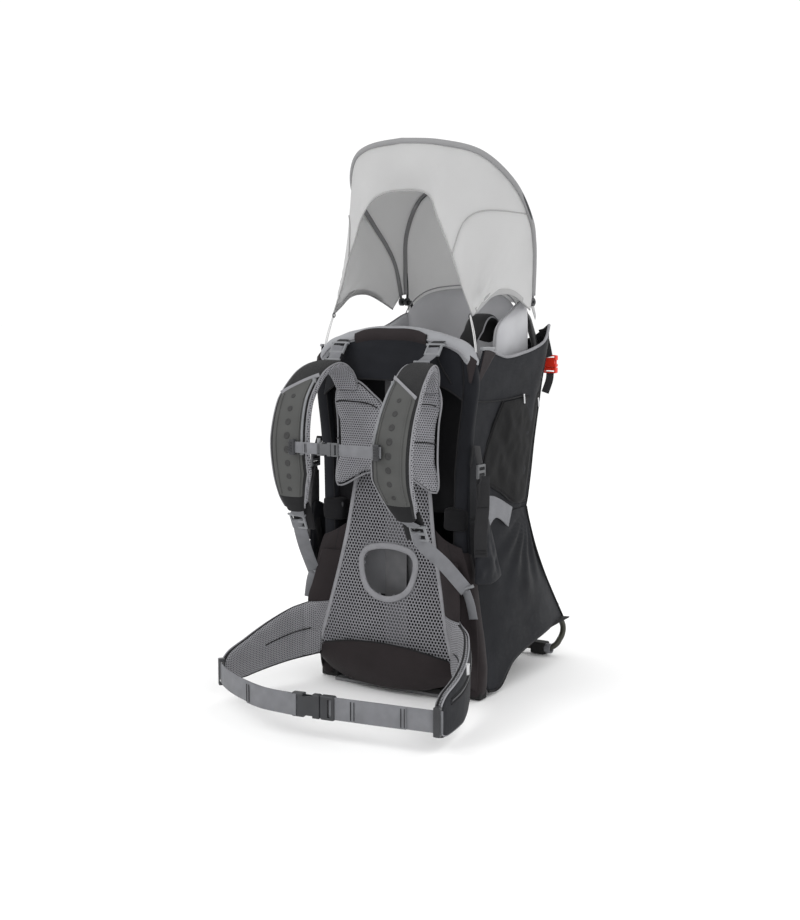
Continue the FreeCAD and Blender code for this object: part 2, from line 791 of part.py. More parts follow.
def shade_pins():
    """Pivot pins on the rear frame's upper corners, one through each pair of hoop ends."""
    pin = rod((SHADE_X - 14, *PIVOT), (SHADE_X + 15, *PIVOT), 3.0)
    post = rod((SHADE_X - 12, PIVOT[0], PIVOT[1]), (SHADE_X - 12, PIVOT[0] + 24, 700), 3.4)
    keep_out = swept(rear_path, REAR / 2 + 0.4, FRAME_BEND)
    return both("shade_pins", pin.fuse(post).cut(keep_out))


def skin(first, second, thickness):
    """A thin cloth between two lines of matching points: a ruled strip, thickened towards the outside."""
    solid_sides = []
    for points in (first, second):
        curve = Part.BSplineCurve()
        curve.interpolate([Vector(*p) for p in points])
        solid_sides.append(curve.toShape())
    surface = Part.makeRuledSurface(*solid_sides)
    return surface.makeOffsetShape(thickness, 0.01, fill=True)


def mirrored_line(points):
    return list(points) + [(-x, y, z) for x, y, z in points[-2::-1]]


def shade_roof():
    """Cloth between the two hoops."""
    front = [(0.93 * x, y + 8, z - 12) for x, y, z in front_hoop_line[2:]]
    rear = [(0.9 * x, y - 8, z - 9) for x, y, z in rear_hoop_line[1:]]
    roof = skin(mirrored_line(front), mirrored_line(rear), size("shade_cloth"))
    return node(shaped("shade_roof", roof), "shade_roof")


def shade_skirt():
    """Cloth that drops from the front hoop to the handle's corners, with the arched look-out."""
    hoop_edge = [(0.93 * x, y - 7, z - 12) for x, y, z in front_hoop_line[2:]]
    lower = [(142, 160, 756), (150, 110, 760), (153, 60, 744), (151, 6, 716), (112, 8, 850), (0, 4, 938)]
    skirt = skin(mirrored_line(hoop_edge), mirrored_line(lower), size("shade_cloth"))
    return node(shaped("shade_skirt", skirt), "shade_skirt")


# ---------------------------------------------------------------- build

front_frame()
rear_frame()
frame_brackets()
bracket_screws()
front_feet()
base_skid()
torso_stay()
kickstand()
kickstand_pins()
kickstand_brackets()
kickstand_feet()
handle_grip()
handle_sleeve()
cockpit_front()
side_panels()
storage_sides()
storage_bag()
cockpit_rear()
headrest_panel()
headrest_wings()
seat_pad()
harness_straps()
back_mesh()
window_trim()
lumbar_cover()
lower_covers()
yoke_pads()
shoulder_straps()
lower_locks()
lifter_locks()
lower_webbing()
lifter_webbing()
hip_buckle()
sternum_buckle()
side_buckle()
sternum_strap()
hip_wings()
hip_webbing()
pocket_zip_pull()
stirrup_locks()
stirrups()
hoop_with_eyes("shade_front_hoop", front_hoop_line)
hoop_with_eyes("shade_rear_hoop", rear_hoop_line)
shade_pins()
shade_roof()
shade_skirt()

doc.recompute()
failed = [o.Label for o in doc.Objects if "Invalid" in o.State or "Error" in o.State]
failed += [o.Label for o in nodes if o.Shape.isNull() or not o.Shape.isValid()]
if failed:
    raise ValueError("these objects failed: " + ", ".join(failed))

os.makedirs("parts", exist_ok=True)
for made in nodes:
    made.Shape.exportStep("parts/%s.step" % made.Label)
print(len(nodes), "sub-parts written")
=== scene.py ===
import bpy
import math
import random
from mathutils import Euler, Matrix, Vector, noise


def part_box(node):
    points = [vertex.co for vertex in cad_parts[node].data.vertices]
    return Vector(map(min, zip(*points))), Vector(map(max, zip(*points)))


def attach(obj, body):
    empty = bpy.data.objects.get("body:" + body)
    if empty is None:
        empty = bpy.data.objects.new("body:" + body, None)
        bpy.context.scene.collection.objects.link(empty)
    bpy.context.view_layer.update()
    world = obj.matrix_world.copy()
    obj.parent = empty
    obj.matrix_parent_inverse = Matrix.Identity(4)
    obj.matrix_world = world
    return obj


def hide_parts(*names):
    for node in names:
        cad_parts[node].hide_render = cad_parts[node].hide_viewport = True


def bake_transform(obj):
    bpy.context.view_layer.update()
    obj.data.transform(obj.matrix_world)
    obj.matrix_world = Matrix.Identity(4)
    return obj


# Looks for a framed child carrier: metres, +X the wearer's right, -Y the wearer's side, +Z up.

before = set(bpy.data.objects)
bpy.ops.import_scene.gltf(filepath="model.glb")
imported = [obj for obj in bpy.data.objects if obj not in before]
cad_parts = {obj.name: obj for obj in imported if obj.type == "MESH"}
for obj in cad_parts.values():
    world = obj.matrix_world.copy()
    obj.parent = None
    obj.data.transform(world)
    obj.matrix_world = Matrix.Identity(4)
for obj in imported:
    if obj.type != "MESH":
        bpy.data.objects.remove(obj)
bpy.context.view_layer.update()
random.seed(7)

MM = 0.001
UP = Vector((0, 0, 1))
SIDES = ((1, "right"), (-1, "left"))


def step(x, y, z):
    """A point, or a move from one, given in millimetres."""
    return Vector((x, y, z)) * MM


def low(node):
    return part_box(node)[0]


def high(node):
    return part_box(node)[1]


def middle(node):
    return (low(node) + high(node)) / 2


# ---------------------------------------------------------------- materials


class Nodes:
    """A short way to build one node material."""

    def __init__(self, name, colour, rough, metal=0.0, sheen=0.0, shine=0.5):
        self.material = bpy.data.materials.new(name)
        self.material.use_nodes = True
        self.tree = self.material.node_tree
        self.surface = self.tree.nodes["Principled BSDF"]
        self.set(self.surface, "Base Color", (*colour, 1.0))
        self.set(self.surface, "Roughness", rough)
        self.set(self.surface, "Metallic", metal)
        self.set(self.surface, "Sheen Weight", sheen)
        self.set(self.surface, "Specular IOR Level", shine)
        self.bumps = []

    def set(self, shader, socket, value):
        shader.inputs[socket].default_value = value

    def add(self, kind, **values):
        made = self.tree.nodes.new(kind)
        for key, value in values.items():
            if key in made.inputs:
                made.inputs[key].default_value = value
            else:
                setattr(made, key, value)
        return made

    def link(self, a, b):
        self.tree.links.new(a, b)

    def place(self, uv=False, scale=(1.0, 1.0, 1.0)):
        where = self.add("ShaderNodeTexCoord")
        mapping = self.add("ShaderNodeMapping")
        mapping.inputs["Scale"].default_value = scale
        self.link(where.outputs["UV" if uv else "Object"], mapping.inputs["Vector"])
        return mapping.outputs["Vector"]

    def math(self, operation, a, b=None):
        made = self.add("ShaderNodeMath", operation=operation)
        for i, value in enumerate((a, b)):
            if value is None:
                continue
            if isinstance(value, (int, float)):
                made.inputs[i].default_value = value
            else:
                self.link(value, made.inputs[i])
        return made.outputs[0]

    def ramp(self, factor, stops):
        made = self.add("ShaderNodeValToRGB")
        elements = made.color_ramp.elements
        while len(elements) < len(stops):
            elements.new(0.5)
        for element, (at, colour) in zip(elements, stops):
            element.position = at
            element.color = (*colour, 1.0)
        self.link(factor, made.inputs[0])
        return made.outputs[0]

    def noise(self, scale, detail=3.0):
        made = self.add("ShaderNodeTexNoise", Scale=scale, Detail=detail)
        self.link(self.place(), made.inputs["Vector"])
        return made.outputs["Fac"]

    def tint(self, colour, factor, spread):
        """Colour that varies a little with a factor."""
        dark = [c * (1 - spread) for c in colour]
        light = [min(1.0, c * (1 + spread)) for c in colour]
        made = self.ramp(factor, [(0.3, dark), (0.7, light)])
        self.link(made, self.surface.inputs["Base Color"])
        return made

    def bump(self, factor, strength, distance):
        made = self.add("ShaderNodeBump", Strength=strength, Distance=distance)
        self.link(factor, made.inputs["Height"])
        if self.bumps:
            self.link(self.bumps[-1].outputs["Normal"], made.inputs["Normal"])
        self.bumps.append(made)
        self.link(made.outputs["Normal"], self.surface.inputs["Normal"])

    def rough(self, factor, least, most):
        spread = self.add("ShaderNodeMapRange")
        spread.inputs["To Min"].default_value = least
        spread.inputs["To Max"].default_value = most
        self.link(factor, spread.inputs["Value"])
        self.link(spread.outputs[0], self.surface.inputs["Roughness"])


def threads(made, pitch):
    """A plain weave's height, the same on faces of any direction."""
    where = made.place(scale=(1 / pitch,) * 3)
    parts = made.add("ShaderNodeSeparateXYZ")
    made.link(where, parts.inputs[0])
    waves = [made.math("SINE", made.math("MULTIPLY", parts.outputs[i], math.tau)) for i in range(3)]
    first = made.math("MAXIMUM", waves[0], waves[1])
    return made.math("MAXIMUM", first, waves[2])


def woven(name, colour, pitch=0.9 * MM, rough=0.8, spread=0.12, crease=0.3):
    """Pack cloth: a fine weave, soft creases and uneven dye."""
    made = Nodes(name, colour, rough, sheen=0.05, shine=0.11)
    large = made.noise(9.0)
    made.tint(colour, large, spread)
    made.rough(made.noise(60.0), rough - 0.1, min(1.0, rough + 0.08))
    made.bump(made.noise(22.0, 4.0), crease, 4 * MM)
    made.bump(threads(made, pitch), 0.25, 0.15 * MM)
    return made.material


def knit(name, colour, rough=0.75, sheen=0.15):
    """A smooth, brushed, padded knit."""
    made = Nodes(name, colour, rough, sheen=sheen, shine=0.3)
    made.tint(colour, made.noise(14.0), 0.07)
    made.bump(made.noise(900.0, 2.0), 0.25, 0.3 * MM)
    made.bump(made.noise(16.0, 2.0), 0.25, 3 * MM)
    return made.material


def air_mesh(name, colour, pit_shade_colour, pitch=4.2 * MM):
    """Spacer mesh over foam: oval pits in staggered rows, laid out in the piece's own UV metres, each pit
    darkened with painted shade.
    """
    made = Nodes(name, colour, 0.85, sheen=0.1, shine=0.2)
    where = made.place(True, (1 / pitch, 1 / (pitch * 0.86), 1.0))
    parts = made.add("ShaderNodeSeparateXYZ")
    made.link(where, parts.inputs[0])
    row = made.math("FLOOR", parts.outputs[1])
    shift = made.math("MULTIPLY", made.math("MODULO", row, 2.0), 0.5)
    across = made.math("FRACT", made.math("ADD", parts.outputs[0], shift))
    along = made.math("FRACT", parts.outputs[1])
    dx = made.math("POWER", made.math("SUBTRACT", across, 0.5), 2.0)
    dy = made.math("POWER", made.math("SUBTRACT", along, 0.5), 2.0)
    distance = made.math("SQRT", made.math("ADD", dx, dy))
    # painted shade: the middle of each pit takes the dark pit colour, as shade in the hole
    painted_pit_shade = made.ramp(distance, [(0.22, pit_shade_colour), (0.36, colour)])
    height = made.ramp(distance, [(0.2, (0, 0, 0)), (0.42, (1, 1, 1))])
    shade = made.add("ShaderNodeMix", data_type="RGBA", blend_type="MULTIPLY")
    shade.inputs["Factor"].default_value = 0.35
    made.link(painted_pit_shade, shade.inputs["A"])
    made.link(made.ramp(made.noise(30.0), [(0.3, (0.6,) * 3), (0.7, (1.0,) * 3)]), shade.inputs["B"])
    made.link(shade.outputs["Result"], made.surface.inputs["Base Color"])
    made.bump(height, 0.7, 0.9 * MM)
    return made.material


def ribbed(name, colour, pitch, uv_axis=0, depth=0.5):
    """Webbing: fine ribs across or along the piece's own UV metres."""
    made = Nodes(name, colour, 0.8, sheen=0.05, shine=0.25)
    where = made.place(True)
    parts = made.add("ShaderNodeSeparateXYZ")
    made.link(where, parts.inputs[0])
    rib = made.math("SINE", made.math("MULTIPLY", parts.outputs[uv_axis], math.tau / pitch))
    cross = made.math("SINE", made.math("MULTIPLY", parts.outputs[1 - uv_axis], math.tau / (pitch * 0.6)))
    made.tint(colour, made.noise(40.0), 0.1)
    made.bump(made.math("ADD", rib, made.math("MULTIPLY", cross, 0.4)), depth, 0.35 * MM)
    made.bump(made.noise(500.0), 0.15, 0.2 * MM)
    return made.material


def moulded(name, colour, rough=0.45, grain=900.0, wear=0.12):
    """Moulded plastic: fine grain and slightly polished patches."""
    made = Nodes(name, colour, rough, shine=0.35)
    made.tint(colour, made.noise(35.0), wear)
    made.rough(made.noise(70.0), rough - 0.1, rough + 0.12)
    made.bump(made.noise(grain, 2.0), 0.12, 0.1 * MM)
    return made.material


def metal(name, colour, rough=0.35, metallic=1.0):
    """Metal with a fine grain and uneven polish."""
    made = Nodes(name, colour, rough, metal=metallic)
    made.tint(colour, made.noise(50.0), 0.1)
    made.rough(made.noise(200.0, 2.0), rough - 0.1, rough + 0.15)
    made.bump(made.noise(1200.0, 2.0), 0.06, 0.05 * MM)
    return made.material


def sun_cloth(name, colour, through=0.35):
    """Thin light cloth that lets some light through."""
    made = Nodes(name, colour, 0.75, sheen=0.05, shine=0.2)
    made.tint(colour, made.noise(12.0), 0.03)
    made.bump(made.noise(26.0, 3.0), 0.22, 4 * MM)
    made.bump(threads(made, 0.8 * MM), 0.12, 0.1 * MM)
    glow = made.add("ShaderNodeBsdfTranslucent")
    glow.inputs["Color"].default_value = (*colour, 1.0)
    mix = made.add("ShaderNodeMixShader")
    mix.inputs["Fac"].default_value = through
    out = made.tree.nodes["Material Output"]
    made.link(made.surface.outputs[0], mix.inputs[1])
    made.link(glow.outputs[0], mix.inputs[2])
    made.link(mix.outputs[0], out.inputs["Surface"])
    return made.material


SHELL = woven("shell_cloth", (0.0085, 0.0092, 0.0118), rough=0.72, spread=0.25)
SHELL_DARK = woven("shell_cloth_dark", (0.006, 0.006, 0.007), rough=0.75, spread=0.2)
SIDE_MESH = woven("side_window_mesh", (0.0075, 0.0075, 0.008), pitch=3.2 * MM, rough=0.9, spread=0.3,
                  crease=0.5)
BROWN = woven("brown_cover_cloth", (0.021, 0.017, 0.018), rough=0.75, spread=0.15)
BINDING = woven("dark_binding", (0.014, 0.014, 0.015), pitch=1.2 * MM, rough=0.85)
GREY_TRIM = ribbed("grey_edge_tape", (0.25, 0.25, 0.265), 1.6 * MM, depth=0.4)
GREY_WEB = ribbed("grey_webbing", (0.175, 0.178, 0.19), 1.9 * MM)
DARK_WEB = ribbed("black_webbing", (0.016, 0.016, 0.0175), 1.9 * MM)
GRIP = knit("grip_knit", (0.27, 0.275, 0.29))
HEAD = knit("head_knit", (0.40, 0.402, 0.42), 0.5, 0.15)
HEAD_SEAM = knit("head_seam", (0.22, 0.22, 0.23), 0.6, 0.1)
WINDOW_GREY = woven("window_grey_sheet", (0.15, 0.152, 0.16), rough=0.8, spread=0.2)
LOCK = moulded("ladder_lock_moulding", (0.085, 0.087, 0.092), 0.38)
BLACK_KNIT = knit("black_knit", (0.014, 0.014, 0.015), 0.85, 0.05)
PAD_MESH = air_mesh("pad_air_mesh", (0.29, 0.29, 0.31), (0.035, 0.035, 0.04), 5.0 * MM)
PAD_MESH_DARK = air_mesh("wing_air_mesh", (0.25, 0.25, 0.265), (0.04, 0.04, 0.045), 4.4 * MM)
BACK_MESH = knit("open_back_mesh", (0.20, 0.20, 0.215), 0.8, 0.1)
STRAP_RIB = ribbed("strap_ribbed_cloth", (0.016, 0.016, 0.017), 2.4 * MM, 1, depth=1.0)
STRAP_FACE = moulded("strap_moulded_face", (0.062, 0.063, 0.061), 0.7, 500.0, 0.1)
STUD = moulded("strap_stud", (0.030, 0.030, 0.030), 0.6, 500.0, 0.1)
DARK_PLASTIC = moulded("dark_moulding", (0.030, 0.031, 0.034), 0.36)
GREY_PLASTIC = moulded("grey_moulding", (0.19, 0.195, 0.205), 0.4)
RED_PLASTIC = moulded("red_moulding", (0.62, 0.03, 0.015), 0.3)
RUBBER = moulded("black_rubber", (0.012, 0.012, 0.012), 0.8, 300.0)
TUBE = metal("dark_anodised_tube", (0.05, 0.05, 0.052), 0.4, 0.6)
STAND = metal("olive_powder_coat", (0.030, 0.030, 0.020), 0.45, 0.25)
STEEL = metal("plain_steel", (0.55, 0.55, 0.56), 0.3)
STAY = metal("stay_bar", (0.10, 0.10, 0.105), 0.5, 0.5)
SKID = moulded("skid_sheet", (0.16, 0.16, 0.165), 0.6)
SHADE = sun_cloth("sun_cloth", (0.70, 0.70, 0.70), 0.48)
SHADE_BAND = sun_cloth("sun_cloth_binding", (0.26, 0.26, 0.265), 0.05)
SHADE_SEAM = sun_cloth("sun_cloth_seam", (0.36, 0.36, 0.36), 0.1)
CORD = woven("white_cord", (0.62, 0.62, 0.62), 0.8 * MM)


# ---------------------------------------------------------------- mesh helpers


def curve_points(points, count, closed=False):
    """A smooth line through the points, cut into `count` steps."""
    points = [Vector(p) for p in points]
    spans = len(points) if closed else len(points) - 1

    def at(i):
        if closed:
            return points[i % len(points)]
        return points[max(0, min(len(points) - 1, i))]

    line = []
    for k in range(count + (0 if closed else 1)):
        where = spans * k / count
        i = min(int(where), spans - 1)
        t = where - i
        a, b, c, d = at(i - 1), at(i), at(i + 1), at(i + 2)
        value = (b * 2 + (c - a) * t + (a * 2 - b * 5 + c * 4 - d) * t * t
                 + (b * 3 - a - c * 3 + d) * t * t * t) / 2
        line.append(value)
    return line


def even(line, count):
    """The same line with evenly spaced points."""
    lengths = [0.0]
    for a, b in zip(line, line[1:]):
        lengths.append(lengths[-1] + (b - a).length)
    result, i = [], 0
    for k in range(count + 1):
        want = lengths[-1] * k / count
        while i < len(line) - 2 and lengths[i + 1] < want:
            i += 1
        span = max(lengths[i + 1] - lengths[i], 1e-9)
        result.append(line[i].lerp(line[i + 1], min(1.0, (want - lengths[i]) / span)))
    return result


def smooth_line(points, fine, count):
    """A smooth line through the points, worked out in `fine` steps and cut into `count` even ones."""
    return even(curve_points(points, fine), count)


def build(name, verts, faces, material, body, uvs=None):
    """One mesh piece that rides on a body. uvs holds one pair of metres for each vertex."""
    mesh = bpy.data.meshes.new(name)
    mesh.from_pydata([tuple(v) for v in verts], [], faces)
    if uvs:
        layer = mesh.uv_layers.new(name="metres")
        for loop in mesh.loops:
            layer.data[loop.index].uv = uvs[loop.vertex_index]
    mesh.validate()
    for polygon in mesh.polygons:
        polygon.use_smooth = True
    made = bpy.data.objects.new(name, mesh)
    bpy.context.scene.collection.objects.link(made)
    mesh.materials.append(material)
    if body:
        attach(made, body)
    return made


def grid(name, rows, material, body, closed=False, caps=False):
    """A sheet through rows of points; closed joins each row's ends, caps fills the first and last rows."""
    width = len(rows[0])
    verts = [p for row in rows for p in row]
    faces = []
    for i in range(len(rows) - 1):
        for j in range(width if closed else width - 1):
            k = (j + 1) % width
            faces.append((i * width + j, i * width + k, (i + 1) * width + k, (i + 1) * width + j))
    if caps:
        faces.append(tuple(range(width))[::-1])
        faces.append(tuple((len(rows) - 1) * width + j for j in range(width)))
    uvs = []
    down = 0.0
    for i, row in enumerate(rows):
        if i:
            down += sum((a - b).length for a, b in zip(row, rows[i - 1])) / width
        along = 0.0
        for j, p in enumerate(row):
            if j:
                along += (p - row[j - 1]).length
            uvs.append((along, down))
    return build(name, verts, faces, material, body, uvs)


def modifier(piece, kind, **values):
    made = piece.modifiers.new(kind.lower(), kind)
    for key, value in values.items():
        setattr(made, key, value)
    return made


def apply_modifiers(piece):
    """Turns the piece's modifiers into its mesh."""
    graph = bpy.context.evaluated_depsgraph_get()
    mesh = bpy.data.meshes.new_from_object(piece.evaluated_get(graph))
    piece.modifiers.clear()
    piece.data = mesh


def rounded(piece):
    """One subdivision, which rounds off the piece's facets."""
    return modifier(piece, "SUBSURF", levels=1, render_levels=1)


def thick(piece, depth, offset=0.0):
    return modifier(piece, "SOLIDIFY", thickness=depth, offset=offset)


def frames(line, side=None):
    """For each point of a line: its tangent, a sideways direction and an upward one."""
    result = []
    last = Vector(side) if side else None
    for i, p in enumerate(line):
        way = (line[min(i + 1, len(line) - 1)] - line[max(i - 1, 0)]).normalized()
        if last is None:
            last = way.orthogonal()
        base = Vector(side) if side else last
        across = (base - way * base.dot(way)).normalized()
        last = across
        result.append((way, across, across.cross(way).normalized()))
    return result


def cord(name, line, radius, material, body, around=8, flat=1.0):
    """A round or flattened tube along a line."""
    rows = []
    for p, (way, across, up) in zip(line, frames(line)):
        ring = []
        for j in range(around):
            angle = math.tau * j / around
            ring.append(p + across * (radius * math.cos(angle)) + up * (radius * flat * math.sin(angle)))
        rows.append(ring)
    return grid(name, rows, material, body, closed=True, caps=True)


def webbing(name, line, side, width, material, body, depth=1.8 * MM):
    """Flat webbing along a line, with its width along side, rounded at the selvedges."""
    rows = []
    half, edge = width / 2, depth / 2
    section = [(-half + edge, -edge), (-half, -edge * 0.5), (-half, edge * 0.5), (-half + edge, edge),
               (0, edge), (half - edge, edge), (half, edge * 0.5), (half, -edge * 0.5),
               (half - edge, -edge), (0, -edge)]
    sides = side if callable(side) else (lambda t: side)
    for i, p in enumerate(line):
        way = (line[min(i + 1, len(line) - 1)] - line[max(i - 1, 0)]).normalized()
        across = Vector(sides(i / (len(line) - 1)))
        across = (across - way * across.dot(way)).normalized()
        up = across.cross(way).normalized()
        rows.append([p + across * a + up * b for a, b in section])
    made = grid(name, rows, material, body, closed=True, caps=True)
    layer = made.data.uv_layers[0]
    along = [0.0]
    for a, b in zip(line, line[1:]):
        along.append(along[-1] + (b - a).length)
    for loop in made.data.loops:
        row, column = divmod(loop.vertex_index, len(section))
        layer.data[loop.index].uv = (along[row], section[column][0])
    return made


def repaint(material, *nodes):
    """Gives CAD nodes their material."""
    for name in nodes:
        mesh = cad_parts[name].data
        mesh.materials.clear()
        mesh.materials.append(material)


def inflate(piece, cap):
    """Cloth pressure swells a closed pad; each point may move at most `cap` metres."""
    pressure = 4.0
    last_frame = 20
    stiffness = 15.0
    rest = [v.co.copy() for v in piece.data.vertices]
    cloth = modifier(piece, "CLOTH")
    cloth.settings.use_pressure = True
    cloth.settings.uniform_pressure_force = pressure
    cloth.settings.effector_weights.gravity = 0.0
    cloth.settings.tension_stiffness = stiffness
    cloth.settings.compression_stiffness = stiffness
    cloth.settings.bending_stiffness = 1.5
    cloth.collision_settings.use_collision = False
    scene = bpy.context.scene
    cloth.point_cache.frame_start = 1
    cloth.point_cache.frame_end = last_frame
    for number in range(1, last_frame + 1):
        scene.frame_set(number)
    graph = bpy.context.evaluated_depsgraph_get()
    swollen = [v.co.copy() for v in piece.evaluated_get(graph).data.vertices]
    piece.modifiers.clear()
    for vertex, start, end in zip(piece.data.vertices, rest, swollen):
        move = end - start
        if move.length > cap:
            move = move.normalized() * cap
        vertex.co = start + move
    scene.frame_set(1)
    return piece


# ---------------------------------------------------------------- camera, light and floor


def stage_scene():
    """Camera, pale paper floor, three soft lights and a white world."""
    scene = bpy.context.scene
    camera = bpy.data.objects.new("camera", bpy.data.cameras.new("camera"))
    scene.collection.objects.link(camera)
    camera.location = (1.401, -2.232, 0.741)
    turn, dip = 0.5619, 0.1145
    forward = Vector((-math.sin(turn) * math.cos(dip), math.cos(turn) * math.cos(dip), -math.sin(dip)))
    camera.rotation_euler = forward.to_track_quat("-Z", "Y").to_euler()
    camera.data.sensor_width = 36.0
    camera.data.lens = 54.78
    scene.camera = camera

    mesh = bpy.data.meshes.new("floor")
    edge = 30.0
    mesh.from_pydata([(-edge, -edge, 0), (edge, -edge, 0), (edge, edge, 0), (-edge, edge, 0)], [],
                     [(0, 1, 2, 3)])
    floor = bpy.data.objects.new("floor", mesh)
    floor.location.z = low("base_skid").z - 1.5 * MM
    scene.collection.objects.link(floor)
    look = Nodes("floor_paper", (0.96, 0.96, 0.96), 0.95, shine=0.1)
    look.tint((0.96, 0.96, 0.96), look.noise(2.0), 0.01)
    mesh.materials.append(look.material)

    for name, where, size, power, shade in (
        ("key_light", (-1.5, -2.4, 2.6), 1.6, 26.0, 1.0),
        ("fill_light", (2.9, -1.2, 1.7), 1.6, 16.0, 1.0),
        ("back_light", (0.6, 2.6, 2.4), 1.8, 20.0, 1.0),
    ):
        data = bpy.data.lights.new(name, "AREA")
        data.size = size
        data.energy = power
        data.color = (shade, shade, shade)
        light = bpy.data.objects.new(name, data)
        light.location = where
        aim = Vector((0.0, 0.05, 0.45)) - Vector(where)
        light.rotation_euler = aim.to_track_quat("-Z", "Y").to_euler()
        scene.collection.objects.link(light)

    world = bpy.data.worlds.new("studio")
    world.use_nodes = True
    world.node_tree.nodes["Background"].inputs[0].default_value = (1.0, 1.0, 1.0, 1.0)
    world.node_tree.nodes["Background"].inputs[1].default_value = 1.06
    scene.world = world
    scene.view_settings.view_transform = "Standard"


def finish_cad_nodes():
    """The rigid parts are shown as the CAD drew them, each with its own finish."""
    repaint(TUBE, "front_frame", "rear_frame")
    repaint(STAND, "kickstand")
    repaint(DARK_PLASTIC, "frame_brackets", "kickstand_brackets", "sternum_sliders")
    repaint(GREY_PLASTIC, "lower_lock_left", "lower_lock_right", "lifter_lock_left", "lifter_lock_right")
    repaint(LOCK, "stirrup_locks", "sternum_buckle_socket", "sternum_buckle_plug")
    repaint(DARK_PLASTIC, "hip_sliders", "bracket_screws", "hip_buckle_socket", "hip_buckle_plug")
    repaint(DARK_PLASTIC, "shade_front_hoop", "shade_rear_hoop", "shade_pins")
    repaint(STEEL, "kickstand_pins", "pocket_zip_pull")
    repaint(RUBBER, "front_feet", "kickstand_feet")
    repaint(SKID, "base_skid")
    repaint(STAY, "torso_stay")
    repaint(RED_PLASTIC, "side_buckle_socket", "side_buckle_plug")
    repaint(SHELL, "side_panels", "storage_sides", "storage_bag", "cockpit_rear", "cockpit_front")
    repaint(HEAD, "headrest_panel", "headrest_wings", "seat_pad")
    repaint(DARK_WEB, "harness_straps")
    repaint(GREY_WEB, "lower_webbing", "lifter_webbing", "hip_webbing_left", "hip_webbing_right")
    repaint(GREY_WEB, "sternum_webbing_left", "sternum_webbing_right")
    repaint(BROWN, "lumbar_cover", "lower_covers")
    repaint(BACK_MESH, "back_mesh", "window_trim")
    repaint(PAD_MESH, "yoke_pads", "hip_wing_left", "hip_wing_right")
    repaint(STRAP_FACE, "shoulder_strap_left", "shoulder_strap_right")
    repaint(GRIP, "handle_grip")
    repaint(BROWN, "handle_sleeve")
    repaint(SHELL, "stirrup_left", "stirrup_right")
    repaint(SHADE, "shade_roof", "shade_skirt")


stage_scene()
finish_cad_nodes()


# ---------------------------------------------------------------- sheets and seams


def mm(*points):
    return [Vector(p) * MM for p in points]


def mirror(points):
    return [Vector((-p.x, p.y, p.z)) for p in points]


def on_side_of(rows, sign):
    """Rows drawn for the right side, as they are or mirrored for the left."""
    return rows if sign > 0 else [mirror(row)[::-1] for row in rows]


def backwards(rows):
    """Each row turned round, so that the sheet faces the other way."""
    return [row[::-1] for row in rows]


def read(line, at):
    """The value at `at` on a line of (position, value) pairs, held level past both ends."""
    if at <= line[0][0]:
        return line[0][1]
    for (a, first), (b, second) in zip(line, line[1:]):
        if at <= b:
            return first + (second - first) * (at - a) / (b - a)
    return line[-1][1]


def patch(top, bottom, start, end, across, down):
    """Rows of points filling four edge lines that meet at their corners."""
    top, bottom = (smooth_line(line, 12 * len(line), across) for line in (top, bottom))
    start, end = (smooth_line(line, 12 * len(line), down) for line in (start, end))
    rows = []
    for i in range(down + 1):
        v = i / down
        row = []
        for j in range(across + 1):
            u = j / across
            ruled = top[j].lerp(bottom[j], v) + start[i].lerp(end[i], u)
            corners = top[0].lerp(top[-1], u).lerp(bottom[0].lerp(bottom[-1], u), v)
            row.append(ruled - corners)
        rows.append(row)
    return rows


def crumple(rows, way, height, size, stretch=(1.0, 1.0, 1.0), seed=0.0):
    """Soft creases: every point shifts along `way` by noise that fades at the sheet's edges."""
    way = Vector(way)
    down, across = len(rows) - 1, len(rows[0]) - 1
    for i, row in enumerate(rows):
        for j, p in enumerate(row):
            fade = min(1.0, 6 * min(i, down - i) / down, 6 * min(j, across - j) / across)
            at = Vector((p.x * stretch[0], p.y * stretch[1], p.z * stretch[2] + seed)) / size
            fold = noise.noise(at) + 0.45 * noise.noise(at * 2.3)
            row[j] = p + way * (height * fold * fade)
    return rows


def seam(name, line, radius, material, body, steps=40):
    return cord(name, smooth_line(line, 4 * steps, steps), radius, material, body, around=6)


# ---------------------------------------------------------------- cockpit and storage cloth

WAIST = low("side_panels").z / MM
SIDE = high("side_panels").x / MM + 1.0

# The pack's outline in millimetres. Edges are (height, depth) pairs, widths are (height, half width) pairs,
# and the rim is (depth, height) pairs.
front_edge = [(WAIST, -26), (430, -27), (490, -27), (553, -27), (600, -24), (652, -6)]
half_width = [(WAIST, 160), (430, 161), (500, 163.5), (560, 168), (610, 175), (650, SIDE)]
lower_half_width = [(8, 178), (60, 176), (170, 169), (280, 161.5), (WAIST, 160)]
rear_half_width = [(84, 160), (200, 166), (WAIST, 158.5)]
rear_edge = [(WAIST, 205), (358, 213), (406, 225), (464, 237), (523, 253), (581, 269), (640, 281), (700, 290)]
rim_edge = [(-10, 652), (16, 649), (54, 639), (86, 634), (134, 638), (197, 648), (240, 662), (284, 690)]
leg_front = [(8, 2), (60, -2), (170, -14), (280, -25), (WAIST, -26)]
storage_rear = mm((0, 205, WAIST), (0, 214, 308), (0, 237, 254), (0, 270, 198), (0, 317, 145), (0, 374, 84))
storage_foot = mm((0, 20, 10), (0, 66, 8), (0, 117, 46), (0, 184, 64), (0, 264, 78), (0, 374, 84))


def side_x(y, z):
    """The side wall's half width: a shallow bulge that rounds in towards the rear corner."""
    rear = read(rear_edge, z)
    front = read(front_edge, z)
    share = max(0.0, min(1.0, (y - front) / (rear - front)))
    corner = max(0.0, (share - 0.84) / 0.16)
    half = read(half_width, z) + 2.5 * math.sin(math.pi * share) - 15 * corner * corner
    return max(half, 158.5)


def on_side(y, z, lift=0.0):
    return step(side_x(y, z) + lift, y, z)


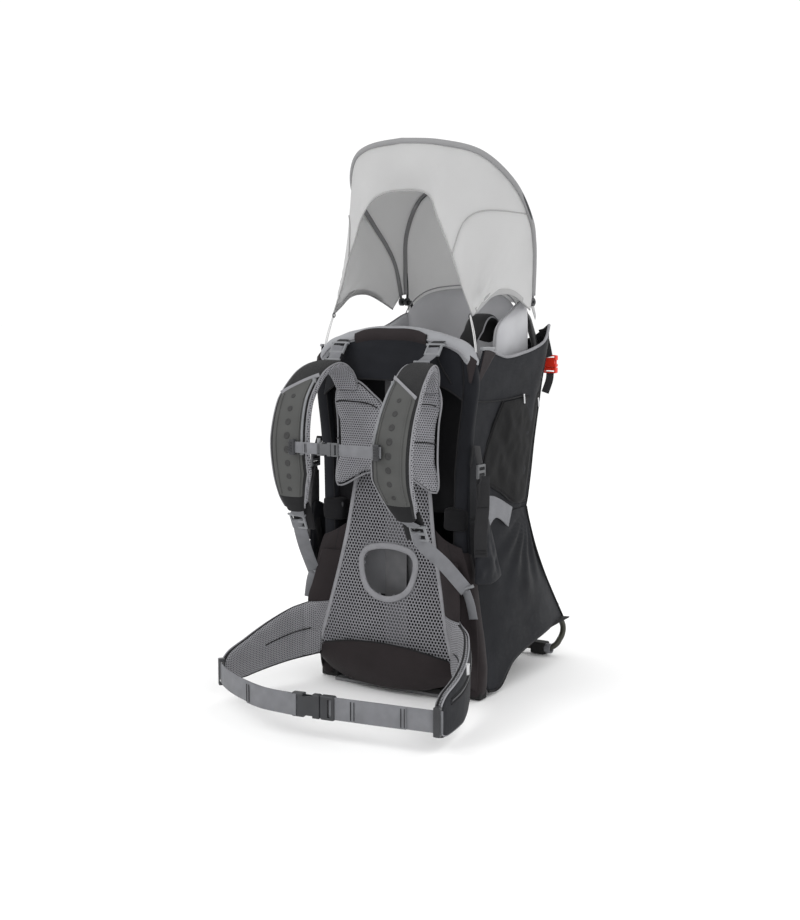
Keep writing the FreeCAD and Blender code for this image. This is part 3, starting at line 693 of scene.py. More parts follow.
def side_wall(sign):
    """One cockpit side, from the upright's sleeve to the rear corner, under the dipped rim."""
    rows = []
    across, down = 46, 40
    for i in range(down + 1):
        row = []
        for j in range(across + 1):
            share = j / across
            y = read(front_edge, 650) + share * (read(rear_edge, 660) - read(front_edge, 650))
            z = read(rim_edge, y) + (WAIST - read(rim_edge, y)) * i / down
            y = read(front_edge, z) + share * (read(rear_edge, z) - read(front_edge, z))
            row.append(on_side(y, z))
        rows.append(row)
    crumple(rows, (1, 0, 0), 3.2 * MM, 70 * MM, (1, 0.6, 1.4), 0.3 * sign)
    rows = on_side_of(rows, sign)
    side = "right" if sign > 0 else "left"
    wall = grid("cockpit_side_" + side, rows, SHELL, "frame")
    thick(wall, 2.2 * MM, 1.0)
    apply_modifiers(wall)
    return wall


def side_details(sign):
    """Piping, seams, the mesh window and the corner gussets of one cockpit side."""
    side = "right" if sign > 0 else "left"

    def placed(points, lift=1.2):
        line = [on_side(y, z, lift) for y, z in points]
        return line if sign > 0 else mirror(line)

    rim = placed([(y, z) for y, z in rim_edge], -0.4)
    seam("cockpit_rim_piping_" + side, rim, 2.9 * MM, GREY_TRIM, "frame", 60)
    band = [(read(front_edge, 556) + 3, 556), (60, 553), (150, 556), (read(rear_edge, 566) - 8, 566)]
    seam("band_seam_" + side, placed(band), 1.3 * MM, BINDING, "frame")
    slant = [(84, 552), (49, 500), (22, 456), (4, 412)]
    seam("slant_seam_" + side, placed(slant), 1.4 * MM, BINDING, "frame")
    pocket = [(6, 412), (36, 400), (88, 379), (129, 357), (163, 350), (198, 349)]
    seam("pocket_edge_" + side, placed(pocket), 2.0 * MM, BINDING, "frame")
    corners = [placed([(84, 549), (150, 552), (read(rear_edge, 560) - 14, 560)], 1.0),
               placed([(10, 408), (88, 379), (150, 350), (196, 352)], 1.0)]
    ends = [placed([(84, 549), (49, 500), (24, 456), (10, 408)], 1.0),
            placed([(read(rear_edge, 560) - 14, 560), (read(rear_edge, 464) - 12, 464), (196, 352)], 1.0)]
    rows = patch(corners[0], corners[1], ends[0], ends[1], 34, 30)
    crumple(rows, (sign, 0, 0), 4.0 * MM, 45 * MM, (1, 1, 1), 4.0)
    for i, row in enumerate(rows):
        rows[i] = [p + Vector((sign, 0, 0)) * 1.6 * MM for p in row]
    if sign < 0:
        rows = backwards(rows)
    window = grid("side_mesh_window_" + side, rows, SIDE_MESH, "frame")
    thick(window, 0.8 * MM)
    gusset_top = placed([(-6, 650), (12, 648), (36, 643)], 1.4)
    gusset_foot = placed([(-20, 590), (-17, 588), (-14, 590)], 1.4)
    gusset = patch(gusset_top, gusset_foot, [gusset_top[0], gusset_foot[0]],
                   [gusset_top[-1], gusset_foot[-1]], 12, 12)
    if sign < 0:
        gusset = backwards(gusset)
    flap = grid("corner_gusset_" + side, gusset, BROWN, "frame")
    thick(flap, 1.0 * MM)


def front_wall():
    """The padded wall behind the back panel, wrapped on to both uprights."""
    top_z = high("cockpit_front").z / MM + 6
    foot_z = low("cockpit_front").z / MM - 10
    rows = []
    for i in range(31):
        z = top_z + (foot_z - top_z) * i / 30
        wide = read([(WAIST, 146), (430, 148), (560, 157), (600, 158), (650, 136)], z)
        row = []
        for j in range(41):
            share = -1 + 2 * j / 40
            dip = 6 * (1 - abs(share) ** 6)
            row.append(step(wide * share, -18 + dip, z))
        rows.append(row)
    crumple(rows, (0, 1, 0), 2.5 * MM, 60 * MM)
    wall = grid("cockpit_front_cloth", rows, SHELL_DARK, "frame")
    thick(wall, 5 * MM, -1.0)
    apply_modifiers(wall)
    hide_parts("cockpit_front")


def rear_wall():
    """The cockpit's rear cloth, hung between the rear corners."""
    rows = []
    for i in range(31):
        row = []
        for j in range(49):
            share = -1 + 2 * j / 48
            top = 690 - 40 * (1 - share ** 4)
            z = top + (WAIST - top) * i / 30
            y = read(rear_edge, z)
            x = side_x(y, z)
            row.append(step(x * share, y + 9 * (1 - share ** 4), z))
        rows.append(row)
    crumple(rows, (0, 1, 0), 4 * MM, 70 * MM)
    rows = backwards(rows)
    wall = grid("cockpit_rear_cloth", rows, SHELL, "frame")
    thick(wall, 2.2 * MM, 1.0)
    apply_modifiers(wall)
    rim = [rows[0][j] for j in range(0, 49, 4)]
    seam("rear_rim_binding", rim, 2.6 * MM, BINDING, "frame", 60)
    for sign, side in SIDES:
        edge = [step(sign * side_x(y, z), y, z) for z, y in rear_edge[:-1]]
        seam("rear_corner_piping_" + side, edge, 1.8 * MM, BINDING, "frame")
    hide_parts("cockpit_rear")


def storage_wall(sign):
    """One lower side wall: it runs from the upright's sleeve back to the open kickstand."""
    def out(line, x):
        return [Vector((x * MM, p.y, p.z)) for p in line]

    x = lower_half_width[0][1]
    top = [on_side(y, WAIST) for y in (-26, 20, 90, 150, 205)]
    front = [step(read(lower_half_width, z), y, z) for z, y in leg_front[::-1]]
    front[-1] = out(storage_foot, x)[0]
    rear = [Vector((read(rear_half_width, p.z / MM) * MM, p.y, p.z)) for p in storage_rear]
    foot = out(storage_foot, x)
    foot[-1] = rear[-1]
    top[-1] = rear[0]
    top[0] = front[0]
    rows = patch(top, foot, front, rear, 46, 40)
    pull = step(0, 205, WAIST)
    for row in rows:
        for j, p in enumerate(row):
            reach = (Vector((0, p.y, p.z)) - pull).length
            ray = math.atan2(p.z - pull.z, p.y - pull.y)
            fold = math.sin(ray * 17) * 2.4 * MM * math.exp(-((reach - 0.09) / 0.07) ** 2)
            bulge = 4 * MM * math.sin(math.pi * j / 46)
            row[j] = p + Vector((fold + bulge, 0, 0))
    crumple(rows, (1, 0, 0), 3.0 * MM, 80 * MM, (1, 0.7, 1.2), 2.0 * sign)
    rows = on_side_of(rows, sign)
    side = "right" if sign > 0 else "left"
    wall = grid("storage_side_cloth_" + side, rows, SHELL, None)
    thick(wall, 2.0 * MM, 1.0)
    apply_modifiers(wall)
    hung(wall)
    return rows


def hung(piece):
    """Bakes the lower cloth's placement into its mesh; the piece rides on no body."""
    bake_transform(piece)


def storage_rear_wall():
    """The lower rear panel, from the cockpit's foot out to the kickstand."""
    rows = []
    for p in smooth_line(storage_rear, 60, 30):
        x = read(rear_half_width, p.z / MM)
        row = []
        for j in range(49):
            share = -1 + 2 * j / 48
            row.append(Vector((x * share * MM, p.y + 8 * MM * (1 - share ** 4), p.z)))
        rows.append(row)
    crumple(rows, (0, 1, 0.4), 5 * MM, 80 * MM, (0.6, 1, 1))
    rows = backwards(rows)
    wall = grid("storage_rear_cloth", rows, SHELL, None)
    thick(wall, 2.0 * MM, 1.0)
    apply_modifiers(wall)
    hung(wall)
    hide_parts("storage_bag")


def storage_floor():
    """The bottom panel, from the base tube back to the kickstand."""
    rows = []
    for p in smooth_line(storage_foot[1:], 60, 26):
        row = []
        for j in range(41):
            share = -1 + 2 * j / 40
            sag = -5 * MM * (1 - share ** 2)
            row.append(Vector(((SIDE - 2) * share * MM, p.y, p.z + sag)))
        rows.append(row)
    crumple(rows, (0, 0, 1), 3 * MM, 70 * MM)
    floor = grid("storage_floor_cloth", rows, SHELL_DARK, None)
    thick(floor, 2.0 * MM)
    apply_modifiers(floor)
    hung(floor)


def storage_trim(sign):
    """Binding along the lower wall's foot and piping down its rear edge."""
    side = "right" if sign > 0 else "left"
    x = lower_half_width[0][1] + 1
    foot = [(x, p.y / MM, p.z / MM) for p in storage_foot[:-1]]
    foot.append((166, 340, 84))
    rear = [(read(rear_half_width, p.z / MM) + 1, p.y / MM, p.z / MM) for p in storage_rear]
    for name, points in (("storage_foot_binding_", foot), ("storage_rear_piping_", rear)):
        line = mm(*points)
        if sign < 0:
            line = mirror(line)
        made = seam(name + side, line, 2.2 * MM, BINDING, None)
        hung(made)


def leg_sleeves():
    """Cloth tubes that hold the kickstand's legs against the compartment's rear corners."""
    for sign, side in SIDES:
        line = even(mm((sign * 134, 198, 292), (sign * 144, 291, 183), (sign * 151, 358, 108)), 30)
        cord("leg_sleeve_" + side, line, 8.6 * MM, SHELL, "kickstand", around=14)


for sign in (1, -1):
    wall = side_wall(sign)
    side_details(sign)
    storage_wall(sign)
    storage_trim(sign)
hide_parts("side_panels", "storage_sides")
front_wall()
rear_wall()
storage_rear_wall()
storage_floor()
leg_sleeves()


# ---------------------------------------------------------------- sunshade

hoop_half = mm((0, -2, 1031), (76, 10, 1025), (139, 52, 1006), (178, 105, 954), (179, 170, 894),
               (169, 206, 850), (160, 226, 811), (155, 234, 773), (152, 238, 748))
arch_half = mm((0, 8, 941), (34, 6, 939), (63, -2, 926), (82, -12, 893), (100, -9, 850),
               (116, -9, 812), (131, -6, 767), (154, -4, 711))
hem_half = mm((154, -4, 711), (155, 26, 727), (157, 60, 745), (160, 105, 751), (161, 150, 745),
              (158, 216, 720))
CORNER = arch_half[-1]
ARCH_STEPS = 36
HEM_STEPS = 24
HOOP_STEPS = ARCH_STEPS + HEM_STEPS


def hoop_to_hem():
    """Matching points on the front hoop and on the cloth's free edge, from the middle to the right pivot."""
    edge = smooth_line(hoop_half, 96, HOOP_STEPS)
    arch = smooth_line(arch_half, 96, ARCH_STEPS)
    hem = smooth_line(hem_half, 96, HEM_STEPS)
    return edge, arch + hem[1:]


def skirt_half():
    """The front cloth's right half, as rows from the hoop to the free edge."""
    edge, free = hoop_to_hem()
    steps = 18
    rows = []
    for i in range(steps + 1):
        v = i / steps
        row = []
        for j, (a, b) in enumerate(zip(edge, free)):
            side = j / HOOP_STEPS
            belly = math.sin(math.pi * v) * 9 * MM * max(0.0, 1 - 2.2 * side)
            p = a.lerp(b, v) + Vector((0, -1.0, 0.15)) * belly
            reach = p - CORNER
            pleat = math.sin(math.atan2(reach.z, reach.y) * 26) * math.exp(-(reach.length / 0.11) ** 2)
            row.append(p + step(3.4, -1.6, 0) * pleat * min(1.0, v * (1 - v) * 8))
        rows.append(row)
    return rows


def both_halves(half_rows):
    """Full rows from half rows that start on the middle plane."""
    rows = []
    for row in half_rows:
        left = [Vector((-p.x, p.y, p.z)) for p in row[:0:-1]]
        rows.append(left + row)
    return rows


def tension(rows, height, size, seed):
    """Shallow ripples over a stretched sheet."""
    for row in rows:
        for j, p in enumerate(row):
            at = Vector((p.x, p.y, p.z * 0.5 + seed)) / size
            row[j] = p + Vector((0.4, -0.8, 0.3)) * (height * noise.noise(at))
    return rows


def shade_front_cloth():
    """The front cloth on its hoop, with the hoop's binding, the look-out arch's hem and the face seams."""
    rows = tension(both_halves(skirt_half()), 2.2 * MM, 60 * MM, 3.0)
    cloth = grid("shade_front_cloth", rows, SHADE, "shade_front")
    thick(cloth, 0.7 * MM)
    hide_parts("shade_skirt")
    edge, free = hoop_to_hem()
    rim = mirror(edge[:0:-1]) + edge
    cord("shade_rim_binding", rim, 5.8 * MM, SHADE_BAND, "shade_front", around=10, flat=1.0)
    hem = mirror(free[:0:-1]) + free
    cord("shade_arch_hem", hem, 1.5 * MM, SHADE_SEAM, "shade_front", around=6)
    for sign, side in SIDES:
        half = skirt_half()
        line = []
        for i in range(19):
            u = 1 - i / 18
            column = 22 + 17 * u - 7 * math.sin(math.pi * u)
            k = int(column)
            line.append(half[i][k].lerp(half[i][k + 1], column - k) + step(0.9, -1.2, 0.2))
        line = smooth_line(line[::-1], 60, 40)
        cord("shade_face_seam_" + side, line if sign > 0 else mirror(line), 1.1 * MM, SHADE_SEAM,
             "shade_front", around=6)
        hem_line = [p + step(1.2, 0, 4) for p in free[ARCH_STEPS + 1:HOOP_STEPS - 3]]
        webbing("shade_hem_tape_" + side, hem_line if sign > 0 else mirror(hem_line), (0, 0, 1), 10 * MM,
                SHADE_SEAM, "shade_front", 0.8 * MM)


rear_half = mm((0, 271, 974), (56, 268, 970), (103, 259, 956), (125, 247, 924), (141, 239, 865),
               (141, 238, 800), (140, 240, 750))


def shade_roof_cloth():
    """One sheet over both hoops."""
    front = smooth_line(hoop_half, 96, 48)
    rear = smooth_line(rear_half, 84, 48)
    rows = []
    steps = 16
    for i in range(steps + 1):
        v = i / steps
        row = []
        for j, (a, b) in enumerate(zip(front, rear)):
            side = j / 48
            lift = math.sin(math.pi * v) * 9 * MM * (1 - side)
            row.append(a.lerp(b, v) + Vector((0, 0, -lift * 0.5)))
        rows.append(row)
    rows = tension(both_halves(rows), 3 * MM, 70 * MM, 9.0)
    cloth = grid("shade_roof_cloth", rows, SHADE, None)
    thick(cloth, 0.7 * MM)
    apply_modifiers(cloth)
    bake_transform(cloth)
    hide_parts("shade_roof")
    band = mirror(rear[:0:-1]) + rear
    cord("shade_rear_binding", band, 5.0 * MM, SHADE_BAND, "shade_rear", around=10)


def shade_back_cloth():
    """Rear cloth from the rear hoop down to the frame behind the head cushion."""
    top = smooth_line(rear_half, 84, 40)
    foot = smooth_line(mm((0, 297, 735), (70, 297, 735), (120, 288, 728), (142, 272, 712), (146, 262, 700)),
                       60, 40)
    rows = []
    for i in range(17):
        v = i / 16
        row = []
        for j, (a, b) in enumerate(zip(top, foot)):
            out = math.sin(math.pi * v) * 10 * MM * (1 - j / 40)
            row.append(a.lerp(b, v) + Vector((0, out, 0)))
        rows.append(row)
    rows = tension(both_halves(rows), 3 * MM, 60 * MM, 5.0)
    cloth = grid("shade_back_cloth", [row[::-1] for row in rows], SHADE, None)
    thick(cloth, 0.7 * MM)
    apply_modifiers(cloth)
    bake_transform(cloth)


def shade_cords():
    """Thin cords that hold the front corners down to the handle's ends."""
    for sign, side in SIDES:
        corner = Vector((sign * 150 * MM, -7 * MM, 713 * MM))
        end = Vector((sign * 168 * MM, -15 * MM, 640 * MM))
        for gap in (-1, 1):
            shift = Vector((0, gap * 1.6 * MM, 0))
            line = smooth_line([corner + shift,
                                corner.lerp(end, 0.5) + shift * 1.6 + Vector((sign * 2 * MM, 0, 0)),
                                end + shift], 20, 16)
            cord("shade_cord_%s_%s" % (side, "front" if gap < 0 else "rear"), line, 0.9 * MM, CORD,
                 "shade_front", around=6)
        ring = [corner + Vector((0, math.cos(a) * 4 * MM, -3 * MM + math.sin(a) * 4 * MM))
                for a in [math.tau * i / 16 for i in range(17)]]
        cord("shade_corner_ring_" + side, ring, 1.0 * MM, DARK_PLASTIC, "shade_front",
             around=6)
        hook = smooth_line([end + Vector((0, 0, 4 * MM)), end + Vector((sign * 4 * MM, -2 * MM, -4 * MM)),
                            end + Vector((sign * 3 * MM, 4 * MM, -12 * MM)),
                            end + Vector((0, 9 * MM, -8 * MM))], 30, 20)
        cord("shade_cord_hook_" + side, hook, 2.2 * MM, DARK_PLASTIC, "shade_front", around=8)
    toggle = mm((178, -16, 652), (179, 8, 651), (178, 33, 650))
    cord("rim_cord_toggle", smooth_line(toggle, 20, 12), 4.2 * MM, GREY_PLASTIC, "frame",
         around=10, flat=0.8)


shade_front_cloth()
shade_roof_cloth()
shade_back_cloth()
shade_cords()


# ---------------------------------------------------------------- handle and cushions

handle_half = mm((0, -24, 676), (36, -24, 676), (66, -24, 671.5), (94, -23.5, 666), (124, -20, 657),
                 (144, -17.5, 649), (158, -17.5, 634), (163, -20, 618))


def handle():
    """Knit grip pad round the arch, its piping, and the dark sleeve wrapped under the middle."""
    half = curve_points(handle_half, 60)
    line = even(mirror(half[:0:-1]) + half, 90)

    def swell(share):
        return 1.0 + 0.05 * math.sin(share * 60) * 0.3 - 0.25 * max(0, abs(share - 0.5) * 2 - 0.93) / 0.07

    rows = []
    for i, (p, (way, across, up)) in enumerate(zip(line, frames(line, (0, 1, 0)))):
        share = i / (len(line) - 1)
        size = 15.0 * MM * swell(share)
        ring = []
        for j in range(20):
            angle = math.tau * j / 20
            wide, tall = math.cos(angle), math.sin(angle)
            lobes = 1.0 + 0.10 * abs(wide) ** 3
            ring.append(p + across * (size * lobes * wide) + up * (size * tall))
        rows.append(ring)
    grip = grid("handle_grip_cloth", rows, GRIP, "frame", closed=True, caps=True)
    rounded(grip)
    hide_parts("handle_grip")
    for sign, edge in ((-1, "front"), (1, "rear")):
        piping = []
        for p, (way, across, up) in zip(line, frames(line, (0, 1, 0))):
            piping.append(p + across * (sign * 16.2 * MM) - Vector((0, 0, 2 * MM)))
        cord("handle_piping_" + edge, piping[3:-3], 1.7 * MM, GREY_TRIM, "frame", around=8)
    middle_line = [p for p in line if abs(p.x) < 0.079]
    rows = []
    for p, (way, across, up) in zip(middle_line, frames(middle_line, (0, 1, 0))):
        fade = max(0.0, (abs(p.x) / MM - 62) / 17)
        ring = []
        for j in range(20):
            angle = math.radians(-218 + 14 * fade) + math.radians(222 - 14 * fade) * j / 19
            size = 17.4 * MM
            level = across * (size * math.cos(angle))
            ring.append(p + level + UP * (size * 1.02 * math.sin(angle)))
        rows.append(ring)
    sleeve = grid("handle_sleeve_cloth", rows, BROWN, "frame")
    thick(sleeve, 1.6 * MM, 1.0)
    rounded(sleeve)
    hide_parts("handle_sleeve")
    for end in (0, -1):
        cord("handle_sleeve_edge_%d" % (end + 1), rows[end], 1.5 * MM, BINDING, "frame",
             around=6)


def cushion(name, outline, centre, depth, turn, material, body, node=None, cap=8 * MM, rings=7):
    """A stuffed pad: a flat outline in its own plane, filled front and back, then swollen by pressure."""
    points = even(curve_points([step(a, 0, b) for a, b in outline], 90, closed=True)
                  + [step(outline[0][0], 0, outline[0][1])], 72)[:-1]
    heart = sum(points, Vector()) / len(points)
    count = len(points)
    verts, uvs, faces = [], [], []
    for face_side in (-1, 1):
        for ring in range(rings):
            share = 1 - ring / rings
            height = depth / 2 * (1 - share ** 4) ** 0.5 if ring else 0.12 * depth
            for p in points:
                q = heart + (p - heart) * share
                verts.append(Vector((q.x, face_side * height, q.z)))
                uvs.append((q.x, q.z))
        verts.append(Vector((heart.x, face_side * depth / 2, heart.z)))
        uvs.append((heart.x, heart.z))
    block = rings * count + 1
    for side_index in (0, 1):
        base = side_index * block
        for ring in range(rings):
            for j in range(count):
                k = (j + 1) % count
                a, b = base + ring * count + j, base + ring * count + k
                if ring < rings - 1:
                    quad = (a, b, b + count, a + count)
                else:
                    quad = (a, b, base + block - 1)
                faces.append(quad if side_index else quad[::-1])
    for j in range(count):
        k = (j + 1) % count
        faces.append((j, k, block + k, block + j))
    for i, v in enumerate(verts):
        verts[i] = Vector(v)
        verts[i].rotate(turn)
        verts[i] += Vector(centre) * MM
    made = build(name, verts, faces, material, None, uvs)
    inflate(made, cap)
    rounded(made)
    apply_modifiers(made)
    for polygon in made.data.polygons:
        polygon.use_smooth = True
    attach(made, body)
    if node:
        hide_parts(node)
    edge = [Vector(p) for p in points]
    for p in edge:
        p.rotate(turn)
        p += Vector(centre) * MM
    return made, edge + edge[:1]


def cushions():
    """The head cushion, the two cheek cushions beside it and the seat."""
    head_half = [(38, 79), (72, 73), (102, 60), (122, 38), (130, 8), (132, -30), (127, -72), (100, -86)]
    head_left = [(-106, -86), (-136, -68), (-144, -34), (-142, 2), (-128, 38), (-102, 62), (-72, 74),
                 (-38, 79)]
    head_outline = [(0, 81)] + head_half + [(0, -88)] + head_left
    centre = middle("headrest_panel") / MM
    made, edge = cushion("head_cushion", head_outline, centre, 34 * MM, Euler((-0.10, 0, 0)), HEAD, "frame",
                         "headrest_panel", cap=9 * MM)
    cord("head_cushion_piping", edge, 1.2 * MM, HEAD_SEAM, "frame", around=6)
    cheek = [(-76, -66), (-80, -30), (-70, 4), (-40, 22), (0, 36), (40, 52), (66, 56), (78, 40), (80, -20),
             (76, -66), (0, -70)]
    for sign, side in SIDES:
        spot = middle("headrest_wings") / MM
        spot = Vector((sign * 138, spot.y - 26, spot.z + (10 if sign > 0 else -16)))
        made, edge = cushion("cheek_cushion_" + side, cheek, spot, 30 * MM,
                             Euler((0, 0, sign * 0.12 + math.pi / 2)), HEAD, "frame",
                             cap=7 * MM)
        cord("cheek_piping_" + side, edge, 1.2 * MM, HEAD_SEAM, "frame", around=6)
    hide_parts("headrest_wings")
    seat = [(0, 62), (40, 60), (56, 46), (59, 0), (54, -48), (34, -62), (0, -65), (-34, -62), (-54, -48),
            (-59, 0), (-56, 46), (-40, 60)]
    made, edge = cushion("seat_cushion", seat, middle("seat_pad") / MM, 26 * MM, Euler((-math.pi / 2, 0, 0)),
                         BLACK_KNIT, "seat", "seat_pad", cap=6 * MM)
    cord("seat_piping", edge, 1.5 * MM, GREY_TRIM, "seat", around=6)


def window_grey_sheet():
    """A grey sheet behind the back panel's window, seen through it."""
    rows = [[step(x, -9 - 3 * math.cos(x / 40) + 2 * math.sin(z / 25), z) for x in range(-84, 37, 8)]
            for z in range(178, 279, 10)]
    grid("window_grey_sheet", rows, WINDOW_GREY, "frame")


def child_harness():
    """The child's padded shoulder straps, arched forward from the head cushion, with light edge piping."""
    arch = mm((0, 212, 640), (0, 200, 676), (0, 172, 702), (0, 138, 704), (0, 112, 676), (0, 102, 630),
              (0, 100, 585))
    line = smooth_line(arch, 60, 40)
    for sign, side in SIDES:
        rows, edges = [], ([], [])
        for i, (p, (way, across, up)) in enumerate(zip(line, frames(line, (1, 0, 0)))):
            share = i / 40
            drop = 0.0 if sign > 0 else 34 * math.sin(math.pi * min(1.0, share * 1.2))
            centre = p + step(sign * read([(0, 56), (0.3, 88), (0.6, 90), (1, 52)], share), 0, -drop)
            half = 20 * MM * (1 - 0.35 * max(0, share - 0.7) / 0.3)
            ring = []
            for j in range(16):
                angle = math.tau * j / 16
                c, s = math.cos(angle), math.sin(angle)
                wide = math.copysign(abs(c) ** 0.6, c) * half
                tall = math.copysign(abs(s) ** 0.8, s) * 7 * MM
                ring.append(centre + across * wide + up * tall)
            rows.append(ring)
            edges[0].append(centre + across * (half + 0.5 * MM))
            edges[1].append(centre - across * (half + 0.5 * MM))
        pad = grid("child_strap_" + side, rows, BLACK_KNIT, "frame", closed=True, caps=True)
        for k in (0, 1):
            cord("child_strap_piping_%s_%d" % (side, k), edges[k], 1.6 * MM, GREY_TRIM, "frame",
                 around=6)
    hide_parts("harness_straps")
    chest = smooth_line(mm((-38, 96, 600), (0, 92, 602), (38, 96, 600)), 20, 14)
    webbing("child_chest_strap", chest, (0, 0, 1), 18 * MM, DARK_WEB, "frame")


# ---------------------------------------------------------------- back panel

mesh_half = [(0, 446), (62, 444), (76, 430), (84, 380), (96, 300), (113, 220), (134, 130), (148, 84),
             (140, 68), (100, 70), (0, 88)]
window_line = [(0, 276), (44, 268), (56, 244), (44, 204), (16, 186), (-16, 186), (-44, 204), (-56, 244),
               (-44, 268)]


def mesh_y(x, z):
    """The back panel's face: it leans back towards the shoulders and swells over the lumbar."""
    lumbar = 9 * math.exp(-((z - 125) / 60) ** 2) * (1 - (x / 170) ** 2)
    return -66 + 0.0804 * z - lumbar


def on_mesh(x, z, lift=0.0):
    return step(x, mesh_y(x, z) - lift, z)


def inside(x, z, outline):
    hit = False
    for (x1, z1), (x2, z2) in zip(outline, outline[1:] + outline[:1]):
        if (z1 > z) != (z2 > z) and x < (x2 - x1) * (z - z1) / (z2 - z1) + x1:
            hit = not hit
    return hit


def smooth_outline(points, count):
    line = curve_points([(x, 0, z) for x, z in points], count, closed=True)
    return [(p.x, p.z) for p in line]


def open_mesh(pitch=6.6, hole=2.4):
    """Perforated cloth: hexagon cells, each with a round hole, joined edge to edge."""
    outline = mesh_half + [(-x, z) for x, z in mesh_half[::-1] if x > 0]
    window = smooth_outline(window_line, 60)
    verts, faces, uvs, known = [], [], [], {}

    def vertex(x, z):
        key = (round(x * 20), round(z * 20))
        if key not in known:
            known[key] = len(verts)
            verts.append(on_mesh(x, z))
            uvs.append((x * MM, z * MM))
        return known[key]

    radius = pitch / math.sqrt(3)
    row = 0
    z = 66.0
    while z < 448:
        shift = pitch / 2 if row % 2 else 0.0
        for column in range(-25, 26):
            x = column * pitch + shift
            if not inside(x, z, outline) or inside(x, z, window):
                continue
            outer, inner = [], []
            for k in range(12):
                angle = math.radians(30 * k + 90)
                reach = radius if k % 2 == 0 else radius * math.cos(math.radians(30))
                outer.append(vertex(x + reach * math.cos(angle), z + reach * math.sin(angle)))
                inner.append(vertex(x + hole * math.cos(angle), z + hole * math.sin(angle)))
            for k in range(12):
                n = (k + 1) % 12
                faces.append((outer[k], inner[k], inner[n], outer[n]))
        z += pitch * math.sqrt(3) / 2
        row += 1
    panel = build("back_mesh_cloth", verts, faces, BACK_MESH, "frame", uvs)
    thick(panel, 1.5 * MM)
    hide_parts("back_mesh")


def tape_round(name, points, width, material, lift, closed=True, steps=150, depth=1.8 * MM):
    """Flat tape laid on the back panel along an outline."""
    line = curve_points([on_mesh(x, z, lift) for x, z in points], 4 * steps, closed=closed)
    line = even(line + line[:1], steps) if closed else even(line, steps)
    section = [(-0.5, 0.0), (-0.46, 0.8), (-0.2, 1.0), (0.2, 1.0), (0.46, 0.8), (0.5, 0.0), (0.0, -0.4)]
    rows = []
    for i, p in enumerate(line):
        before = line[i - 1] if i else (line[-2] if closed else line[0])
        after = line[i + 1] if i < len(line) - 1 else (line[1] if closed else line[-1])
        way = (after - before).normalized()
        out = Vector((0, -1, 0.08)).normalized()
        across = way.cross(out).normalized()
        rows.append([p + across * (a * width) + out * (b * depth) for a, b in section])
    made = grid(name, rows, material, "frame", closed=True, caps=not closed)
    for loop in made.data.loops:
        r, c = divmod(loop.vertex_index, len(section))
        made.data.uv_layers[0].data[loop.index].uv = (r * 0.012, section[c][0] * width)
    return made


def back_trim():
    """Tape round the open mesh and a padded ring round its window."""
    edge = mesh_half[1:8]
    outline = [(-x, z) for x, z in edge[::-1]] + edge
    tape_round("back_mesh_edge_tape", outline, 8 * MM, GREY_TRIM, 0.6, closed=False)
    ring = tape_round("window_edge_trim", [(x * 1.08, (z - 234) * 1.08 + 234) for x, z in window_line],
                      12 * MM, GREY_TRIM, 0.8, depth=3.0 * MM)
    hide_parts("window_trim")
    inner = curve_points([on_mesh(x, z, 1.0) for x, z in window_line], 90, closed=True)
    cord("window_edge_piping", inner + inner[:1], 1.6 * MM, BINDING, "frame", around=6)


def lumbar():
    """The dark padded cover at the foot of the back panel."""
    top = mm((-153, -52, 74), (-124, -66, 84), (-70, -74, 95), (0, -77, 100), (70, -74, 95), (124, -66, 84),
             (153, -52, 74))
    foot = mm((-150, -48, 46), (-118, -52, 28), (-70, -54, 15), (0, -56, 11), (70, -54, 15), (118, -52, 28),
              (150, -48, 46))
    rows = patch(top, foot, [top[0], step(-154, -54, 58), foot[0]],
                 [top[-1], step(154, -54, 58), foot[-1]], 56, 18)
    for i, row in enumerate(rows):
        for j, p in enumerate(row):
            swell = math.sin(math.pi * i / 18) * math.sin(math.pi * j / 56)
            row[j] = p + Vector((0, -6 * MM * swell, 0))
    crumple(rows, (0, 1, 0), 3 * MM, 45 * MM, (0.5, 1, 1))
    pad = grid("lumbar_cover_cloth", rows, BROWN, "frame")
    thick(pad, 3 * MM, -1.0)
    rounded(pad)
    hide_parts("lumbar_cover")
    cord("lumbar_cover_piping", [p + step(0, -1.5, 0.5) for p in smooth_line(top, 60, 50)], 1.8 * MM,
         BINDING, "frame", around=6)


upright_line = [(8, 166, -1), (60, 168, -4), (170, 157, -13), (280, 146.5, -22), (WAIST, 147.5, -22.5),
                (430, 149, -22.5), (588, 167, -24), (622, 163, -21), (646, 154, -17)]


